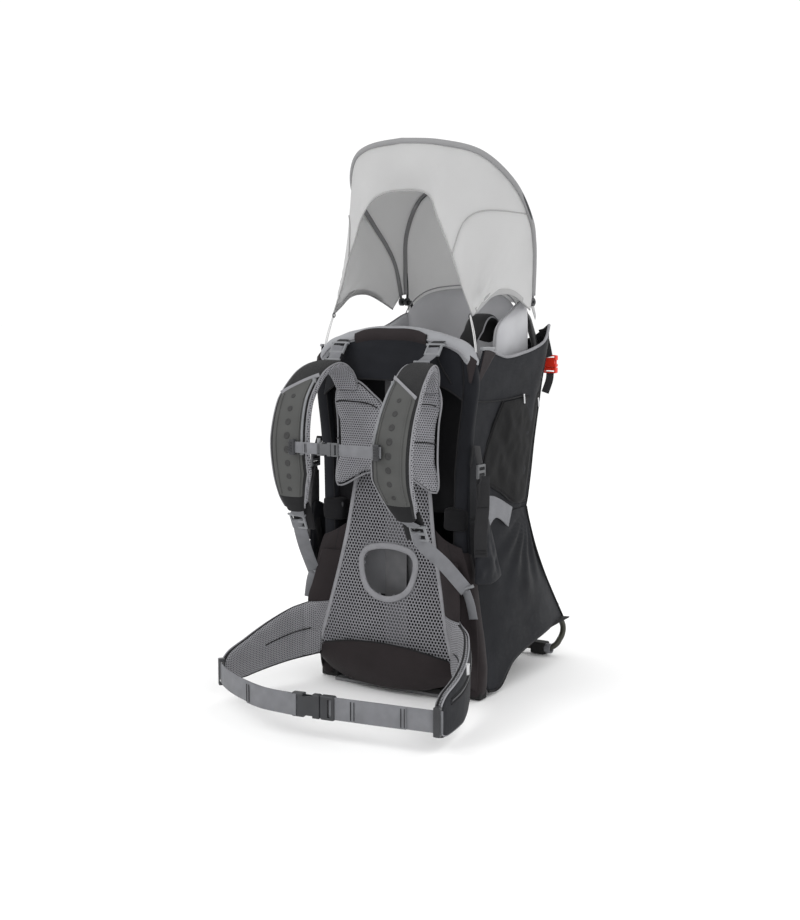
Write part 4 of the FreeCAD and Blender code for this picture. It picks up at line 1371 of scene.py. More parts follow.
def upright_sleeves():
    """Cloth that wraps each upright, padded over the lower leg and flat beside the cockpit."""
    for sign, side in SIDES:
        for name, start, end, material, slot in (
            ("upper", 272, 640, SHELL, "shell_fabric"),
            ("leg", 2.5, 280, BROWN, "cover_fabric"),
        ):
            rows = []
            steps = 44
            for i in range(steps + 1):
                z = end + (start - end) * i / steps
                x = read([(a, b) for a, b, c in upright_line], z)
                y = read([(a, c) for a, b, c in upright_line], z)
                if name == "upper":
                    wide, deep, shift = 14.5, 11.5, -3
                else:
                    swell = math.sin(math.pi * min(1.0, (z + 46) / 360)) ** 0.7
                    toe = max(0.0, 1 - z / 22)
                    wide = 12 + 11 * swell - 5 * toe * toe
                    deep = 11.5 + 9 * swell - 5 * toe * toe
                    shift = -4 * swell
                ring = []
                for j in range(24):
                    angle = math.tau * j / 24
                    c, s = math.cos(angle), math.sin(angle)
                    px = math.copysign(abs(c) ** 0.75, c) * wide + shift
                    py = math.copysign(abs(s) ** 0.75, s) * deep
                    fold = noise.noise(Vector((px / 14, py / 14, z / 60 + 3 * sign))) * 1.6
                    ring.append(step(sign * (x + px + fold), y + py + fold * 0.5, z))
                rows.append(ring if sign > 0 else ring[::-1])
            sleeve = grid("upright_%s_sleeve_%s" % (name, side), rows, material, "frame", closed=True,
                          caps=True)
            rounded(sleeve)
            line = [rows[i][(15 if sign > 0 else 8)] + step(0, -1.0, 0) for i in range(0, steps + 1, 2)]
            cord("upright_%s_seam_%s" % (name, side), line, 1.1 * MM, BINDING, "frame", around=6)


def lower_covers():
    """Stretch panels from the back mesh's edge out to the uprights."""
    for sign, side in SIDES:
        mesh_edge = ((95, 322), (98, 296), (113, 220), (134, 130), (148, 84), (150, 60))
        inner = [on_mesh(x - 4, z, -5) for x, z in mesh_edge]
        outer = mm((153, -37, 288), (166, -38, 252), (179, -36, 190), (182, -26, 110), (174, -14, 16))
        top = [inner[0], (inner[0] + outer[0]) / 2 + step(0, -1, -4), outer[0]]
        foot = [inner[-1], outer[-1]]
        rows = patch(top, foot, inner, outer, 22, 44)
        for i, row in enumerate(rows):
            for j, p in enumerate(row):
                swell = math.sin(math.pi * j / 22)
                row[j] = p + Vector((0, -5 * MM * swell, 0))
        crumple(rows, (0, 1, 0), 3.4 * MM, 40 * MM, (1, 1, 0.5), 7 + sign)
        rows = on_side_of(rows, sign)
        cover = grid("lower_cover_cloth_" + side, rows, BROWN, "frame")
        thick(cover, 2.0 * MM, -1.0)
        rounded(cover)
        seam_row = [row[13] + step(0, -1.2, 0) for row in rows[::2]]
        cord("lower_cover_seam_" + side, seam_row, 1.1 * MM, BINDING, "frame", around=6)
    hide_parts("lower_covers")


def handle_panel():
    """The short cloth band slung under the handle, with diagonal seams to the uprights."""
    top = mm((-148, -20, 640), (-126, -30, 656), (-60, -36, 664), (0, -37, 666), (60, -36, 664),
             (126, -30, 656), (148, -20, 640))
    foot = mm((-152, -36, 560), (-120, -42, 580), (-80, -46, 592), (0, -46, 592), (80, -46, 592),
              (120, -42, 580), (152, -36, 560))
    rows = patch(top, foot, [top[0], foot[0]], [top[-1], foot[-1]], 50, 18)
    crumple(rows, (0, 1, 0), 3 * MM, 40 * MM, (0.5, 1, 1), 6.0)
    band = grid("handle_panel_cloth", rows, SHELL, "frame")
    thick(band, 3 * MM, -1.0)
    rounded(band)
    line = [p + step(0, -1.5, 0) for p in rows[-1]]
    cord("handle_panel_piping", line, 1.8 * MM, BINDING, "frame", around=6)
    for sign, side in SIDES:
        line = [p + step(0, -2.5, 0) for p in mm((sign * 94, -36, 660), (sign * 108, -41, 626),
                                                 (sign * 132, -40, 590))]
        seam("handle_panel_seam_" + side, line, 1.2 * MM, BINDING, "frame", 24)
        gusset = [mm((sign * 150, -24, 646), (sign * 164, -30, 640), (sign * 176, -26, 630)),
                  mm((sign * 168, -40, 592), (sign * 170, -41, 591), (sign * 172, -40, 590))]
        rows = patch(gusset[0], gusset[1], [gusset[0][0], gusset[1][0]], [gusset[0][-1], gusset[1][-1]], 8,
                     12)
        if sign < 0:
            rows = backwards(rows)
        flap = grid("front_corner_gusset_" + side, rows, BROWN, "frame")
        thick(flap, 1.6 * MM)


def hip_roots():
    """Stretch cloth and mesh that carry each hip wing out of the back panel's lower corners."""
    for sign, side in SIDES:
        mesh_edge = ((104, 262), (116, 210), (128, 160), (141, 110), (148, 62))
        inner = [on_mesh(x - 2, z, -2) for x, z in mesh_edge]
        outer = mm((151, -52, 262), (163, -66, 200), (168, -76, 166), (166, -76, 110), (164, -74, 52))
        rows = patch([inner[0], outer[0]], [inner[-1], outer[-1]], inner, outer, 14, 40)
        for row in rows:
            for j, p in enumerate(row):
                row[j] = p + Vector((0, -5 * MM * math.sin(math.pi * j / 14), 0))
        rows = on_side_of(rows, sign)
        for name, part, material, slot in (("cloth", rows[:21], BROWN, "cover_fabric"),
                                           ("mesh", rows[20:], PAD_MESH_DARK, "pad_fabric")):
            root = grid("hip_root_%s_%s" % (name, side), part, material, "frame")
            thick(root, 6 * MM, 1.0)
            rounded(root)


def bracket_wraps():
    """Cloth sewn over each frame clamp, level with the waist."""
    a, b = low("frame_brackets"), high("frame_brackets")
    inner = b.x - 46 * MM
    for sign, side in SIDES:
        centre = Vector((sign * (inner + b.x) / 2, (a.y + b.y) / 2 - 2 * MM, 0))
        wide, deep = (b.x - inner) / 2 + 1.6 * MM, (b.y - a.y) / 2 + 3.6 * MM
        rows = []
        for i in range(19):
            share = i / 18
            z = b.z + 7 * MM + (a.z - 7 * MM - b.z - 7 * MM) * share
            shrink = 1 - 0.4 * abs(2 * share - 1) ** 12
            ring = []
            for j in range(28):
                angle = math.tau * j / 28
                c, s = math.cos(angle), math.sin(angle)
                p = Vector((math.copysign(abs(c) ** 0.5, c) * wide, math.copysign(abs(s) ** 0.5, s) * deep,
                            0)) * shrink
                fold = noise.noise(Vector((p.x / 0.02, p.y / 0.02, z / 0.02 + 5 * sign))) * 2 * MM
                p *= 1 + fold / wide
                ring.append(centre + Vector((p.x, p.y, z)))
            rows.append(ring[::-1])
        wrap = grid("waist_wrap_" + side, rows, SHELL_DARK, "frame", closed=True, caps=True)
        rounded(wrap)


handle_panel()
bracket_wraps()
hip_roots()
cushions()
child_harness()
window_grey_sheet()
handle()
open_mesh()
back_trim()
lumbar()
upright_sleeves()
lower_covers()


# ---------------------------------------------------------------- shoulder harness

strap_centre = mm((0, -52, 572), (0, -66, 604), (0, -96, 620), (0, -140, 604), (0, -184, 556), (0, -206, 492),
                  (0, -204, 430), (0, -188, 384), (0, -172, 357))
STRAP = smooth_line(strap_centre, 160, 120)
strap_inner = [(0, 62), (0.09, 66), (0.18, 72), (0.3, 77), (0.46, 75), (0.64, 67), (0.8, 65), (0.92, 84),
               (1, 98)]
strap_outer = [(0, 110), (0.09, 120), (0.18, 131), (0.3, 143), (0.46, 152), (0.64, 152), (0.8, 149),
               (0.92, 147), (1, 141)]


def strap_at(t, s, h, sign=1):
    """A point on the strap: t along it, s across it from neck to arm, h outward from its middle."""
    where = max(0.0, min(1.0, t)) * (len(STRAP) - 1)
    i = min(int(where), len(STRAP) - 2)
    p = STRAP[i].lerp(STRAP[i + 1], where - i)
    way = (STRAP[min(i + 2, len(STRAP) - 1)] - STRAP[max(i - 1, 0)]).normalized()
    out = Vector((0, way.z, -way.y))
    if out.y > 0 and t > 0.45 or out.z < 0 and t <= 0.45:
        out = -out
    inner, outer = read(strap_inner, t) * MM, read(strap_outer, t) * MM
    x = inner + (outer - inner) * s
    bow = 4 * (s - 0.5) ** 2
    return Vector((sign * x, p.y, p.z)) + out * (h - 2.5 * MM * bow)


def strap_sheet(name, t_range, s_range, h, depth, material, sign, steps=60, across=14, slant=0.0):
    """A closed layer of the strap between two shares of its length and of its width."""
    rows = []
    for i in range(steps + 1):
        u = i / steps
        upper, lower = [], []
        for j in range(across + 1):
            v = j / across
            start = t_range[0] + slant * v
            t = start + (t_range[1] - start) * u
            s = s_range[0] + (s_range[1] - s_range[0]) * v
            crown = (1 - abs(2 * v - 1) ** 5) ** 0.5 if 0 < v < 1 else 0.0
            fill = depth / 2 * (0.25 + 0.75 * crown)
            upper.append(strap_at(t, s, h + fill, sign))
            lower.append(strap_at(t, s, h - fill, sign))
        rows.append(upper + lower[::-1])
    if sign < 0:
        rows = backwards(rows)
    made = grid(name, rows, material, "frame", closed=True, caps=True)
    return made


def shoulder_strap(sign):
    side = "right" if sign > 0 else "left"
    pad = strap_sheet("strap_pad_" + side, (0.0, 0.965), (0.0, 1.0), 0.0, 14 * MM, PAD_MESH,
                      sign, 90, 18)
    rounded(pad)
    cover = strap_sheet("strap_cover_" + side, (0.03, 0.985), (0.07, 0.97), 6.4 * MM, 4.5 * MM, STRAP_RIB,
                        sign, 90, 16)
    rounded(cover)
    plate = strap_sheet("strap_face_" + side, (0.33, 0.915), (0.12, 0.9), 8.6 * MM, 3.4 * MM, STRAP_FACE,
                        sign, 70, 14, slant=0.10)
    rounded(plate)
    for name, s in (("neck", 0.05), ("arm", 0.975)):
        line = [strap_at(0.03 + 0.95 * i / 80, s, 6.0 * MM, sign) for i in range(81)]
        cord("strap_piping_%s_%s" % (name, side), line, 1.5 * MM, GREY_TRIM, "frame",
             around=6)
    for name, s, first in (("neck", 0.2, 0.36), ("arm", 0.8, 0.44)):
        line = [strap_at(first + (0.9 - first) * i / 60, s, 10.3 * MM, sign) for i in range(61)]
        cord("strap_face_border_%s_%s" % (name, side), line, 1.7 * MM, STRAP_FACE, "frame",
             around=8)
    strap_dots(sign, side)
    tip = strap_sheet("strap_tip_" + side, (0.905, 1.0), (0.06, 0.94), 5.0 * MM, 10 * MM, BINDING,
                      sign, 14, 12)
    rounded(tip)
    end = strap_at(1.0, 0.5, 2 * MM, sign)
    tongue = [end + step(0, 6, 14), end + step(sign, 18, -8), end + step(sign * 3, 30, -38)]
    webbing("strap_tongue_" + side, smooth_line(tongue, 16, 10), (1, 0, 0), 44 * MM, BINDING, "frame",
            6 * MM)
    tape = [strap_at(0.325 + 0.11 * i / 24, 0.06 + 0.86 * i / 24, 10.6 * MM, sign) for i in range(25)]
    webbing("strap_slant_tape_" + side, tape, (sign * 0.4, 0, 1), 7 * MM, GREY_TRIM, "frame",
            1.6 * MM)
    rail = [strap_at(0.36 + 0.34 * i / 30, 0.12, 10.0 * MM, sign) for i in range(31)]
    cord("sternum_rail_" + side, rail, 2.3 * MM, GREY_PLASTIC, "frame", around=8)
    for end in (0, -1):
        stop = strap_at(0.36 if end == 0 else 0.70, 0.12, 9.6 * MM, sign)
        line = [stop + step(0, 0, -4), stop + step(0, 0, 4)]
        cord("sternum_rail_end_%s_%d" % (side, end + 1), even(line, 4), 3.6 * MM, GREY_PLASTIC, "frame",
             around=10)
    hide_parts("shoulder_strap_" + side)


def strap_dots(sign, side, count=8):
    """Round embossed studs down the strap's face."""
    verts, faces = [], []
    for k in range(count):
        t = 0.45 + 0.42 * k / (count - 1)
        centre = strap_at(t, 0.5, 10.3 * MM, sign)
        out = (strap_at(t, 0.5, 12 * MM, sign) - centre).normalized()
        across = Vector((1, 0, 0))
        up = out.cross(across).normalized()
        radius = (3.6 + 1.8 * math.sin(math.pi * k / (count - 1))) * MM
        base = len(verts)
        for ring, (share, lift) in enumerate(((1.25, 0.0), (1.0, 1.3), (0.75, 1.0), (0.4, 0.5))):
            for j in range(14):
                angle = math.tau * j / 14
                verts.append(centre + (across * math.cos(angle) + up * math.sin(angle)) * radius * share
                             + out * (lift * MM))
        verts.append(centre + out * 0.4 * MM)
        for ring in range(3):
            for j in range(14):
                n = (j + 1) % 14
                faces.append((base + ring * 14 + j, base + ring * 14 + n, base + ring * 14 + 14 + n,
                              base + ring * 14 + 14 + j))
        for j in range(14):
            faces.append((base + 42 + j, base + 42 + (j + 1) % 14, base + 56))
    build("strap_studs_" + side, verts, faces, STUD, "frame")


def yoke_pads():
    """Mesh-faced shoulder blade pads over the top of the back panel, each with two stitched folds."""
    for sign, side in SIDES:
        outline = [(5, 430), (50, 414), (98, 390), (113, 398), (110, 450), (111, 510), (116, 560),
                   (100, 592), (66, 588), (34, 566), (8, 540), (4, 480)]
        pad, edge = cushion("yoke_pad_" + side, [(sign * (x - 67), z - 484) for x, z in outline],
                            (sign * 67, -52, 484), 13 * MM, Euler((-0.03, 0, 0)), PAD_MESH, "frame",
                            cap=7 * MM, rings=10)
        cord("yoke_piping_" + side, edge, 1.9 * MM, GREY_TRIM, "frame", around=6)
        for k, (z, inner) in enumerate(((478, 10), (548, 18))):
            line = mm((sign * inner, -58.5, z - 8), (sign * (inner + 20), -62, z), (sign * 92, -62, z + 3),
                      (sign * 110, -58.5, z))
            cord("yoke_fold_%s_%d" % (side, k), smooth_line(line, 40, 30), 1.3 * MM, BINDING, "frame",
                 around=6)
    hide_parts("yoke_pads")


def strap_webbings():
    """Webbing through the strap's two adjusters, with their loose tails."""
    for sign, side in SIDES:
        lock = middle("lower_lock_" + side)
        anchor = step(sign * 170, -50, 214)
        tip = strap_at(0.985, 0.5, 3 * MM, sign)
        loop = smooth_line([tip, tip + step(0, 6, -8), lock + step(0, -6, 11)], 20, 12)
        made = webbing("lower_lock_loop_" + side, loop, (1, 0, 0), 25 * MM, GREY_WEB, "frame")
        line = smooth_line([lock + step(0, -4, 3), lock + step(0, 3, -8),
                                  lock + step(sign * 4, 14, -26),
                                  (lock + anchor) / 2 + step(sign * 3, 2, -6), anchor], 60, 40)
        across = (0.6, 0.46, 0.66) if sign > 0 else (1, 0.35, 0.1)
        made = webbing("lower_web_" + side, line, across, 25 * MM, GREY_WEB, "frame")
        loop_at = anchor + step(sign * 2, -3, 4)
        bar = [loop_at + step(-sign * 17, -2, -6), loop_at + step(sign * 12, 4, 6)]
        cord("lower_web_slide_" + side, even(bar, 6), 3.0 * MM, GREY_PLASTIC, "frame",
             around=8)
        tail = smooth_line([anchor + step(0, -2, 0), anchor + step(sign * 8, 0, -22),
                                  anchor + step(sign * 14, 2, -52)], 30, 18)
        webbing("lower_web_tail_" + side, tail, (1, -0.2 * sign, 0.3), 20 * MM, GREY_WEB, "frame")
    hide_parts("lower_webbing")
    for sign, side in SIDES:
        lock = middle("lifter_lock_" + side)
        end = strap_at(0.16, 0.45, 9 * MM, sign)
        line = smooth_line([lock + step(0, -2, 4), lock + step(0, -9, -9), end], 30, 20)
        made = webbing("lifter_web_" + side, line, (1, 0, 0), 24 * MM, GREY_WEB, "frame")
        bar = [end + step(-16, -1, 1), end + step(16, -1, 1)]
        cord("lifter_bar_" + side, even(bar, 6), 2.4 * MM, GREY_PLASTIC, "frame", around=8)
        stub = smooth_line([lock + step(0, 2, 6), lock + step(0, 16, 14),
                                  Vector((lock.x, -24 * MM, lock.z + 14 * MM))], 20, 12)
        webbing("lifter_anchor_" + side, stub, (1, 0, 0), 24 * MM, DARK_WEB, "frame")
    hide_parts("lifter_webbing")


def sternum():
    """Chest strap: webbing either side of the buckle, stitch bars, a folded end and the sliders' loops."""
    depth = middle("sternum_webbing_left").y
    high_z = middle("sternum_webbing_left").z
    left = low("sternum_webbing_left").x
    socket = low("sternum_buckle_socket").x
    plug_end = high("sternum_buckle_plug").x
    right = high("sternum_webbing_right").x
    line = even([Vector((left - 14 * MM, depth + 3 * MM, high_z)), Vector((left, depth + 1.0 * MM, high_z)),
                 Vector((socket + 5 * MM, depth, high_z))], 24)
    made = webbing("sternum_web_left", line, (0, 0, 1), 20 * MM, GREY_WEB, "sternum_strap")
    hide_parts("sternum_webbing_left")
    line = even([Vector((plug_end - 5 * MM, depth, high_z)),
                 Vector((right - 30 * MM, depth + 0.5 * MM, high_z)),
                 Vector((right - 20 * MM, depth + 2 * MM, high_z))], 24)
    made = webbing("sternum_web_right", line, (0, 0, 1), 20 * MM, GREY_WEB, "sternum_plug")
    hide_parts("sternum_webbing_right")
    fold = even([Vector((left + 20 * MM, depth - 2.4 * MM, high_z)),
                 Vector((socket + 4 * MM, depth - 2.4 * MM, high_z))], 10)
    webbing("sternum_web_fold", fold, (0, 0, 1), 20 * MM, GREY_WEB, "sternum_strap")
    for k, x in enumerate((left + 24 * MM, left + 27 * MM)):
        bar = [Vector((x, depth - 3.6 * MM, high_z - 8 * MM)), Vector((x, depth - 3.6 * MM, high_z + 8 * MM))]
        cord("sternum_stitch_%d" % k, even(bar, 4), 0.6 * MM, BINDING, "sternum_strap",
             around=6)
    post = [Vector((socket + 3 * MM, depth - 1 * MM, high_z + 8 * MM)),
            Vector((socket + 3 * MM, depth - 1 * MM, high_z + 19 * MM))]
    cord("sternum_whistle_post", even(post, 5), 3.2 * MM, GREY_PLASTIC, "sternum_strap",
         around=10)
    for sign, side, body in ((1, "right", "sternum_strap"), (-1, "left", "sternum_strap")):
        x = sign * (high("sternum_sliders").x - 4 * MM)
        for k in range(4):
            z = high_z + (k - 1.5) * 5 * MM
            rib = [Vector((x - 5 * MM, depth - 4.8 * MM, z)), Vector((x + 3 * MM, depth - 4.8 * MM, z))]
            cord("sternum_slider_rib_%s_%d" % (side, k), even(rib, 3), 0.9 * MM, DARK_PLASTIC, body,
                 around=6)
        clasp = even([Vector((x + sign * 2 * MM, depth + 2 * MM, high_z)),
                      Vector((x - sign * 16 * MM, depth + 7 * MM, high_z))], 6)
        webbing("sternum_clasp_" + side, clasp, (0, 0, 1), 15 * MM, DARK_PLASTIC, body,
                3.4 * MM)


# ---------------------------------------------------------------- hip belt

wing_right = mm((150, -58, 0), (164, -72, 0), (196, -104, 0), (228, -164, 0), (245, -224, 0), (254, -300, 0))
wing_left = mm((-150, -58, 0), (-162, -72, 0), (-187, -106, 0), (-207, -152, 0), (-221, -200, 0),
               (-229, -256, 0))
wing_edges = {"right": ([(-310, 82), (-224, 104), (-164, 124), (-100, 148), (-58, 160)],
                        [(-310, 14), (-200, 16), (-100, 42), (-58, 50)]),
                        "left": ([(-270, 78), (-200, 104), (-152, 128), (-100, 152), (-58, 166)],
                                 [(-270, 32), (-200, 34), (-100, 50), (-58, 58)]),}
WING_R = smooth_line(wing_right, 120, 80)
WING_L = smooth_line(wing_left, 120, 80)


def wing_point(side, t, v, h):
    """A point on a hip wing: t along it, v from its foot to its top, h outward from its middle."""
    line = {"right": WING_R, "left": WING_L}[side]
    where = max(0.0, min(1.0, t)) * (len(line) - 1)
    i = min(int(where), len(line) - 2)
    p = line[i].lerp(line[i + 1], where - i)
    way = (line[min(i + 2, len(line) - 1)] - line[max(i - 1, 0)]).normalized()
    out = Vector((-way.y, way.x, 0)) if side == "left" else Vector((way.y, -way.x, 0))
    if (out.x > 0) != (side == "right"):
        out = -out
    tops, feet = wing_edges[side]
    depth = p.y / MM
    top, foot = read(tops, depth) * MM, read(feet, depth) * MM
    nose = max(0.0, (t - 0.86) / 0.14)
    centre = (top + foot) / 2
    half = (top - foot) / 2 * math.sqrt(max(0.0, 1 - 0.75 * nose ** 2.5))
    return Vector((p.x, p.y, centre + half * (2 * v - 1))) + out * h


def wing_sheet(name, side, t_range, v_range, h, depth, material, steps=48, across=16):
    """A closed layer of a hip wing between two shares of its length and of its height."""
    rows = []
    for i in range(steps + 1):
        t = t_range[0] + (t_range[1] - t_range[0]) * i / steps
        outer, inner = [], []
        for j in range(across + 1):
            v = v_range[0] + (v_range[1] - v_range[0]) * j / across
            share = j / across
            crown = (1 - abs(2 * share - 1) ** 4) ** 0.5 if 0 < share < 1 else 0.0
            nose = 1 - 0.6 * max(0.0, (t - 0.9) / 0.1) ** 2
            groove = 0.3 * math.exp(-((v - 0.5 - 0.2 * (t - 0.3)) / 0.03) ** 2) * max(0.0, 1 - t / 0.62)
            groove += 0.3 * math.exp(-((t - 0.16) / 0.02) ** 2)
            fill = depth / 2 * (0.2 + 0.8 * crown) * nose
            outer.append(wing_point(side, t, v, h + fill))
            inner.append(wing_point(side, t, v, h - fill * (1 - groove)))
        rows.append(outer + inner[::-1])
    if side == "left":
        rows = backwards(rows)
    made = grid(name, rows, material, "frame", closed=True, caps=True)
    rounded(made)
    return made


def hip_wings():
    """Each wing: mesh pad, outer shell, stitched dart, edge pipings and the pocket's zip."""
    for side in ("right", "left"):
        pad = wing_sheet("hip_wing_pad_" + side, side, (0, 1), (0, 1), 0, 18 * MM, PAD_MESH_DARK,
                         60, 24)
        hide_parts("hip_wing_" + side)
        wing_sheet("hip_wing_shell_" + side, side, (0.02, 0.985), (0.04, 0.96), 9.2 * MM, 3.6 * MM, SHELL,
                   50, 14)
        dart = [wing_point(side, 0.1 + 0.46 * i / 24, 0.52 + 0.05 * i / 24, -9.4 * MM) for i in range(25)]
        cord("hip_wing_dart_" + side, dart, 1.1 * MM, BINDING, "frame", around=6)
        for name, v, size in (("top", 0.985, 2.2), ("foot", 0.015, 3.6)):
            line = [wing_point(side, i / 60, v, 0.5 * MM) for i in range(61)]
            cord("hip_wing_piping_%s_%s" % (name, side), line, size * MM, BINDING, "frame",
                 around=8)
            line = [wing_point(side, i / 60, v + (0.02 if name == "foot" else -0.02), 8 * MM)
                    for i in range(61)]
            cord("hip_wing_edge_%s_%s" % (name, side), line, 1.5 * MM, GREY_TRIM, "frame",
                 around=6)
        zip_line = [wing_point(side, 0.2 + 0.66 * i / 50, 0.74 - 0.06 * math.sin(math.pi * i / 50),
                               11.6 * MM) for i in range(51)]
        cord("hip_zip_" + side, zip_line, 1.5 * MM, DARK_PLASTIC, "frame", around=6)
        for v in (0.67, 0.8):
            line = [wing_point(side, 0.2 + 0.66 * i / 50, v - 0.06 * math.sin(math.pi * i / 50), 11.3 * MM)
                    for i in range(51)]
            cord("hip_zip_tape_%s_%d" % (side, int(v * 100)), line, 0.8 * MM, BINDING, "frame",
                 around=6)


def belt_piece(name, points, body, steps=50):
    """A length of hip belt webbing."""
    line = smooth_line(points, 4 * steps, steps)
    return webbing(name, line, UP, 38 * MM, GREY_WEB, body, 2.0 * MM)


def hip_belt():
    """The belt's two lengths with their folded-back ends and stitch bars."""
    z = middle("hip_webbing_right").z
    a, b = low("hip_webbing_right"), high("hip_webbing_right")
    start = Vector((a.x, a.y + 1 * MM, z))
    end = Vector((b.x, b.y - 1 * MM, z))
    way = (end - start).normalized()
    side_way = Vector((way.y, -way.x, 0))
    made = belt_piece("hip_belt_right",
                      [start - way * 12 * MM, start.lerp(end, 0.5), start.lerp(end, 0.93)], "hip_plug")
    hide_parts("hip_webbing_right")
    belt_piece("hip_belt_right_fold",
               [start - way * 12 * MM + side_way * 3 * MM, start.lerp(end, 0.35) + side_way * 3.2 * MM,
                start.lerp(end, 0.62) + side_way * 2.6 * MM], "hip_plug")
    joint = Vector((high("hip_webbing_left").x, low("hip_webbing_left").y + 1 * MM, z))
    points = [joint + step(12, 0.5, 0), joint, Vector((-48 * MM, joint.y + 2.5 * MM, z)),
              step(-130, -340, z / MM), step(-192, -302, z / MM),
              step(-232, -264, z / MM)]
    made = belt_piece("hip_belt_left", points, "frame")
    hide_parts("hip_webbing_left")
    belt_piece("hip_belt_left_fold", [p + Vector((0, -3.2 * MM, 0)) for p in points[:3]]
               + [step(-92, -361, z / MM)], "frame", steps=30)
    for name, body, spots in (("right", "hip_plug",
                               [start.lerp(end, s) + side_way * 4.8 * MM
                                for s in (0.14, 0.17, 0.58, 0.61)]),
                                ("left", "frame", [Vector((x * MM, joint.y - 3.4 * MM + y * MM, z))
                                                   for x, y in ((-12, 1.4), (-18, 1.7), (-84, 11),
                                                                (-90, 12.5))]),):
        for k, spot in enumerate(spots):
            bar = [spot + step(0, 0, -16), spot + step(0, 0, 16)]
            cord("hip_belt_stitch_%s_%d" % (name, k), even(bar, 5), 0.7 * MM, BINDING, body,
                 around=6)


# ---------------------------------------------------------------- stirrups and small fittings


def stirrups():
    """Foot loops: webbing from the swinging pin down to a stiff tread, with a loose adjuster tail."""
    for sign, side in SIDES:
        body = "stirrup_" + side
        a, b = low(body), high(body)
        x = (a.x + b.x) / 2
        y = -24 * MM
        top = b.z - 2 * MM
        rows = []
        for i in range(31):
            share = i / 30
            z = top + (a.z + 8 * MM - top) * share
            half = (11 + 2 * math.sin(share * 7)) * MM
            bend = 4 * MM * math.sin(share * 3.0)
            row = []
            for j in range(9):
                w = -1 + 2 * j / 8
                row.append(Vector((x + sign * (bend + 1.5 * MM * (1 - w * w)),
                                   y + half * w + 20 * MM * share ** 1.6, z)))
            rows.append(row if sign > 0 else row[::-1])
        web = grid("stirrup_web_" + side, rows, DARK_WEB, body)
        thick(web, 2.2 * MM)
        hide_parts(body)
        outline_top = [Vector((x, y - 12 * MM, 346 * MM)), Vector((x + sign * 5 * MM, y + 6 * MM, 350 * MM)),
                       Vector((x, y + 26 * MM, 342 * MM))]
        outline_foot = [Vector((x, y - 20 * MM, 226 * MM)),
                        Vector((x + sign * 9 * MM, y + 28 * MM, 220 * MM)),
                        Vector((x, y + 80 * MM, 226 * MM))]
        rows = patch(outline_top, outline_foot, [outline_top[0], outline_foot[0]],
                     [outline_top[-1], outline_foot[-1]], 18, 20)
        crumple(rows, (sign, 0, 0), 5 * MM, 30 * MM)
        if sign < 0:
            rows = backwards(rows)
        pad = grid("stirrup_tread_" + side, rows, SHELL, body)
        thick(pad, 5 * MM)
        rounded(pad)
        lock_z = middle("stirrup_locks").z
        upper = smooth_line([Vector((x, y, lock_z + 2 * MM)),
                             Vector((x - sign * 5 * MM, y, lock_z + 26 * MM)),
                             Vector((x - sign * 10 * MM, y + 2 * MM, lock_z + 46 * MM))], 24, 14)
        webbing("stirrup_anchor_" + side, upper, (0, 1, 0), 22 * MM, DARK_WEB, "frame")
        pin_loop = smooth_line([Vector((x, y, lock_z - 4 * MM)),
                                Vector((x + sign * 3 * MM, y, lock_z - 14 * MM)),
                                Vector((x, y, top - 3 * MM))], 20, 10)
        webbing("stirrup_hanger_" + side, pin_loop, (0, 1, 0), 20 * MM, DARK_WEB, "frame")
        tail = smooth_line([Vector((x + sign * 4 * MM, y, lock_z - 8 * MM)),
                            Vector((x + sign * 8 * MM, y - 6 * MM, 372 * MM)),
                            Vector((x + sign * 7 * MM, y - 12 * MM, 318 * MM)),
                            Vector((x + sign * 9 * MM, y - 14 * MM, 276 * MM))], 40, 24)
        webbing("stirrup_tail_" + side, tail, (sign * 0.8, 0.6, 0), 24 * MM, DARK_WEB, body,
                2.6 * MM)
        for k, z in enumerate((282, 288, 366)):
            p = tail[-2] if k < 2 else tail[8]
            across = Vector((sign * 0.8, 0.6, 0)) * 10 * MM
            spot = Vector((p.x + sign * 1.6 * MM, p.y - 1.8 * MM, z * MM))
            cord("stirrup_tail_stitch_%s_%d" % (side, k), even([spot - across, spot + across], 6), 0.8 * MM,
                 BINDING, body, around=6)


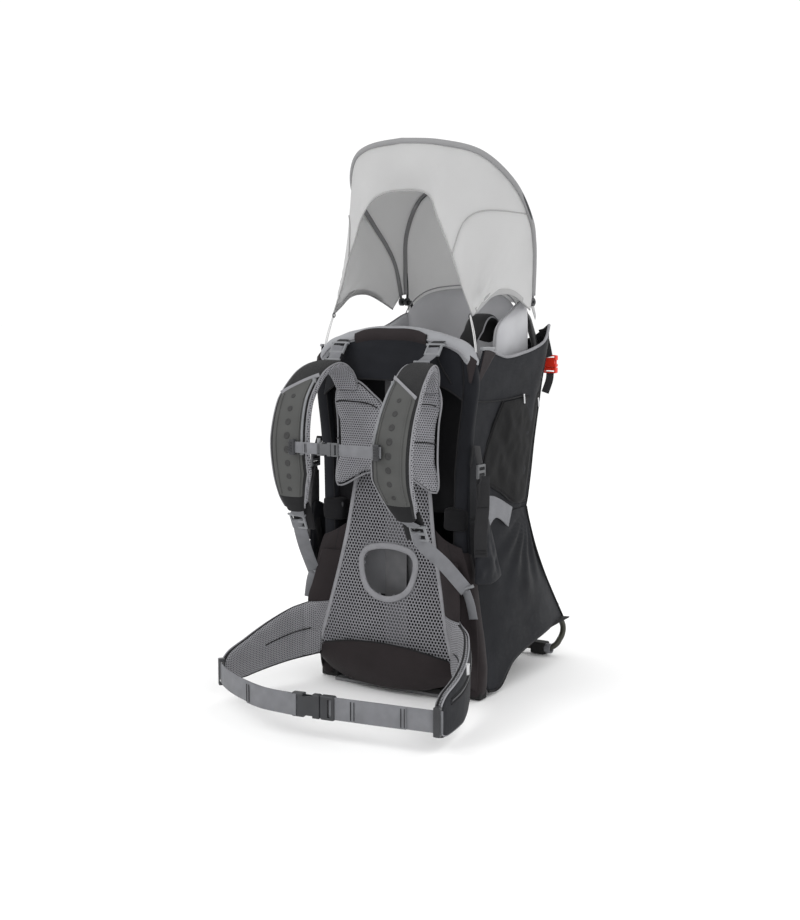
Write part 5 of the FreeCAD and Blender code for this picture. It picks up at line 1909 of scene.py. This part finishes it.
def side_fittings():
    """The tag, the strap that the red buckle closes, zip pulls and the small light flap."""
    red = middle("side_buckle_plug")
    top = high("side_buckle_socket").z
    strap = smooth_line([Vector((red.x, red.y - 6 * MM, top - 4 * MM)),
                         Vector((red.x - 4 * MM, red.y - 10 * MM, top + 22 * MM)),
                         Vector((red.x - 6 * MM, red.y - 17 * MM, top + 40 * MM)),
                         Vector((red.x - 7 * MM, red.y - 24 * MM, top + 52 * MM))], 40, 24)
    webbing("side_buckle_strap", strap, (1, 0.6, 0), 15 * MM, DARK_WEB, "frame")
    lower = smooth_line([Vector((red.x, red.y, low("side_buckle_plug").z + 3 * MM)),
                               Vector((red.x + 1 * MM, red.y - 6 * MM, red.z - 26 * MM)),
                               Vector((red.x - 4 * MM, red.y - 14 * MM, red.z - 50 * MM))], 30, 18)
    webbing("side_buckle_lower_strap", lower, (1, 0.6, 0), 15 * MM, DARK_WEB, "side_plug")
    tag = patch(mm((152, 291, 672), (167, 281, 670)), mm((154, 288, 642), (169, 277, 640)),
                mm((152, 291, 672), (154, 288, 642)), mm((167, 281, 670), (169, 277, 640)), 6, 10)
    made = grid("rear_strap_tag", tag, BINDING, "frame")
    thick(made, 1.6 * MM)
    for sign, side in SIDES:
        for k, (y, z) in enumerate(((165, 560), (244, 548))):
            top_point = on_side(y, z, 3.0)
            line = [top_point, top_point + step(1, 0, -8), top_point + step(1.5, 0, -18)]
            if sign < 0:
                line = mirror(line)
            webbing("side_zip_pull_%s_%d" % (side, k), even(line, 8), (0, 1, 0), 5 * MM, STEEL, "frame",
                    1.4 * MM)
        flap_top = [on_side(y, z, 3.0) for y, z in ((10, 376), (60, 374), (136, 344))]
        flap_foot = [on_side(y, WAIST, 5.0) + step(2, 0, z) for y, z in ((14, -46), (58, -4), (112, -28))]
        rows = patch(flap_top, flap_foot, [flap_top[0], flap_foot[0]], [flap_top[-1], flap_foot[-1]], 16, 14)
        crumple(rows, (1, 0, 0), 3 * MM, 26 * MM, seed=5.0)
        rows = on_side_of(rows, sign)
        flap = grid("waist_flap_" + side, rows, GREY_WEB, "frame")
        thick(flap, 1.2 * MM)
    for sign, side in SIDES:
        x = sign * 134
        band = [step(x, 366 + 9.5 * math.cos(a), 13 + 9.5 * math.sin(a)) for a in
                [math.tau * i / 20 for i in range(21)]]
        webbing("kickstand_band_" + side, band, (1, 0, 0), 14 * MM, GREY_WEB, "kickstand",
                1.6 * MM)


for sign in (1, -1):
    shoulder_strap(sign)
yoke_pads()
strap_webbings()
sternum()
hip_wings()
hip_belt()
stirrups()
side_fittings()
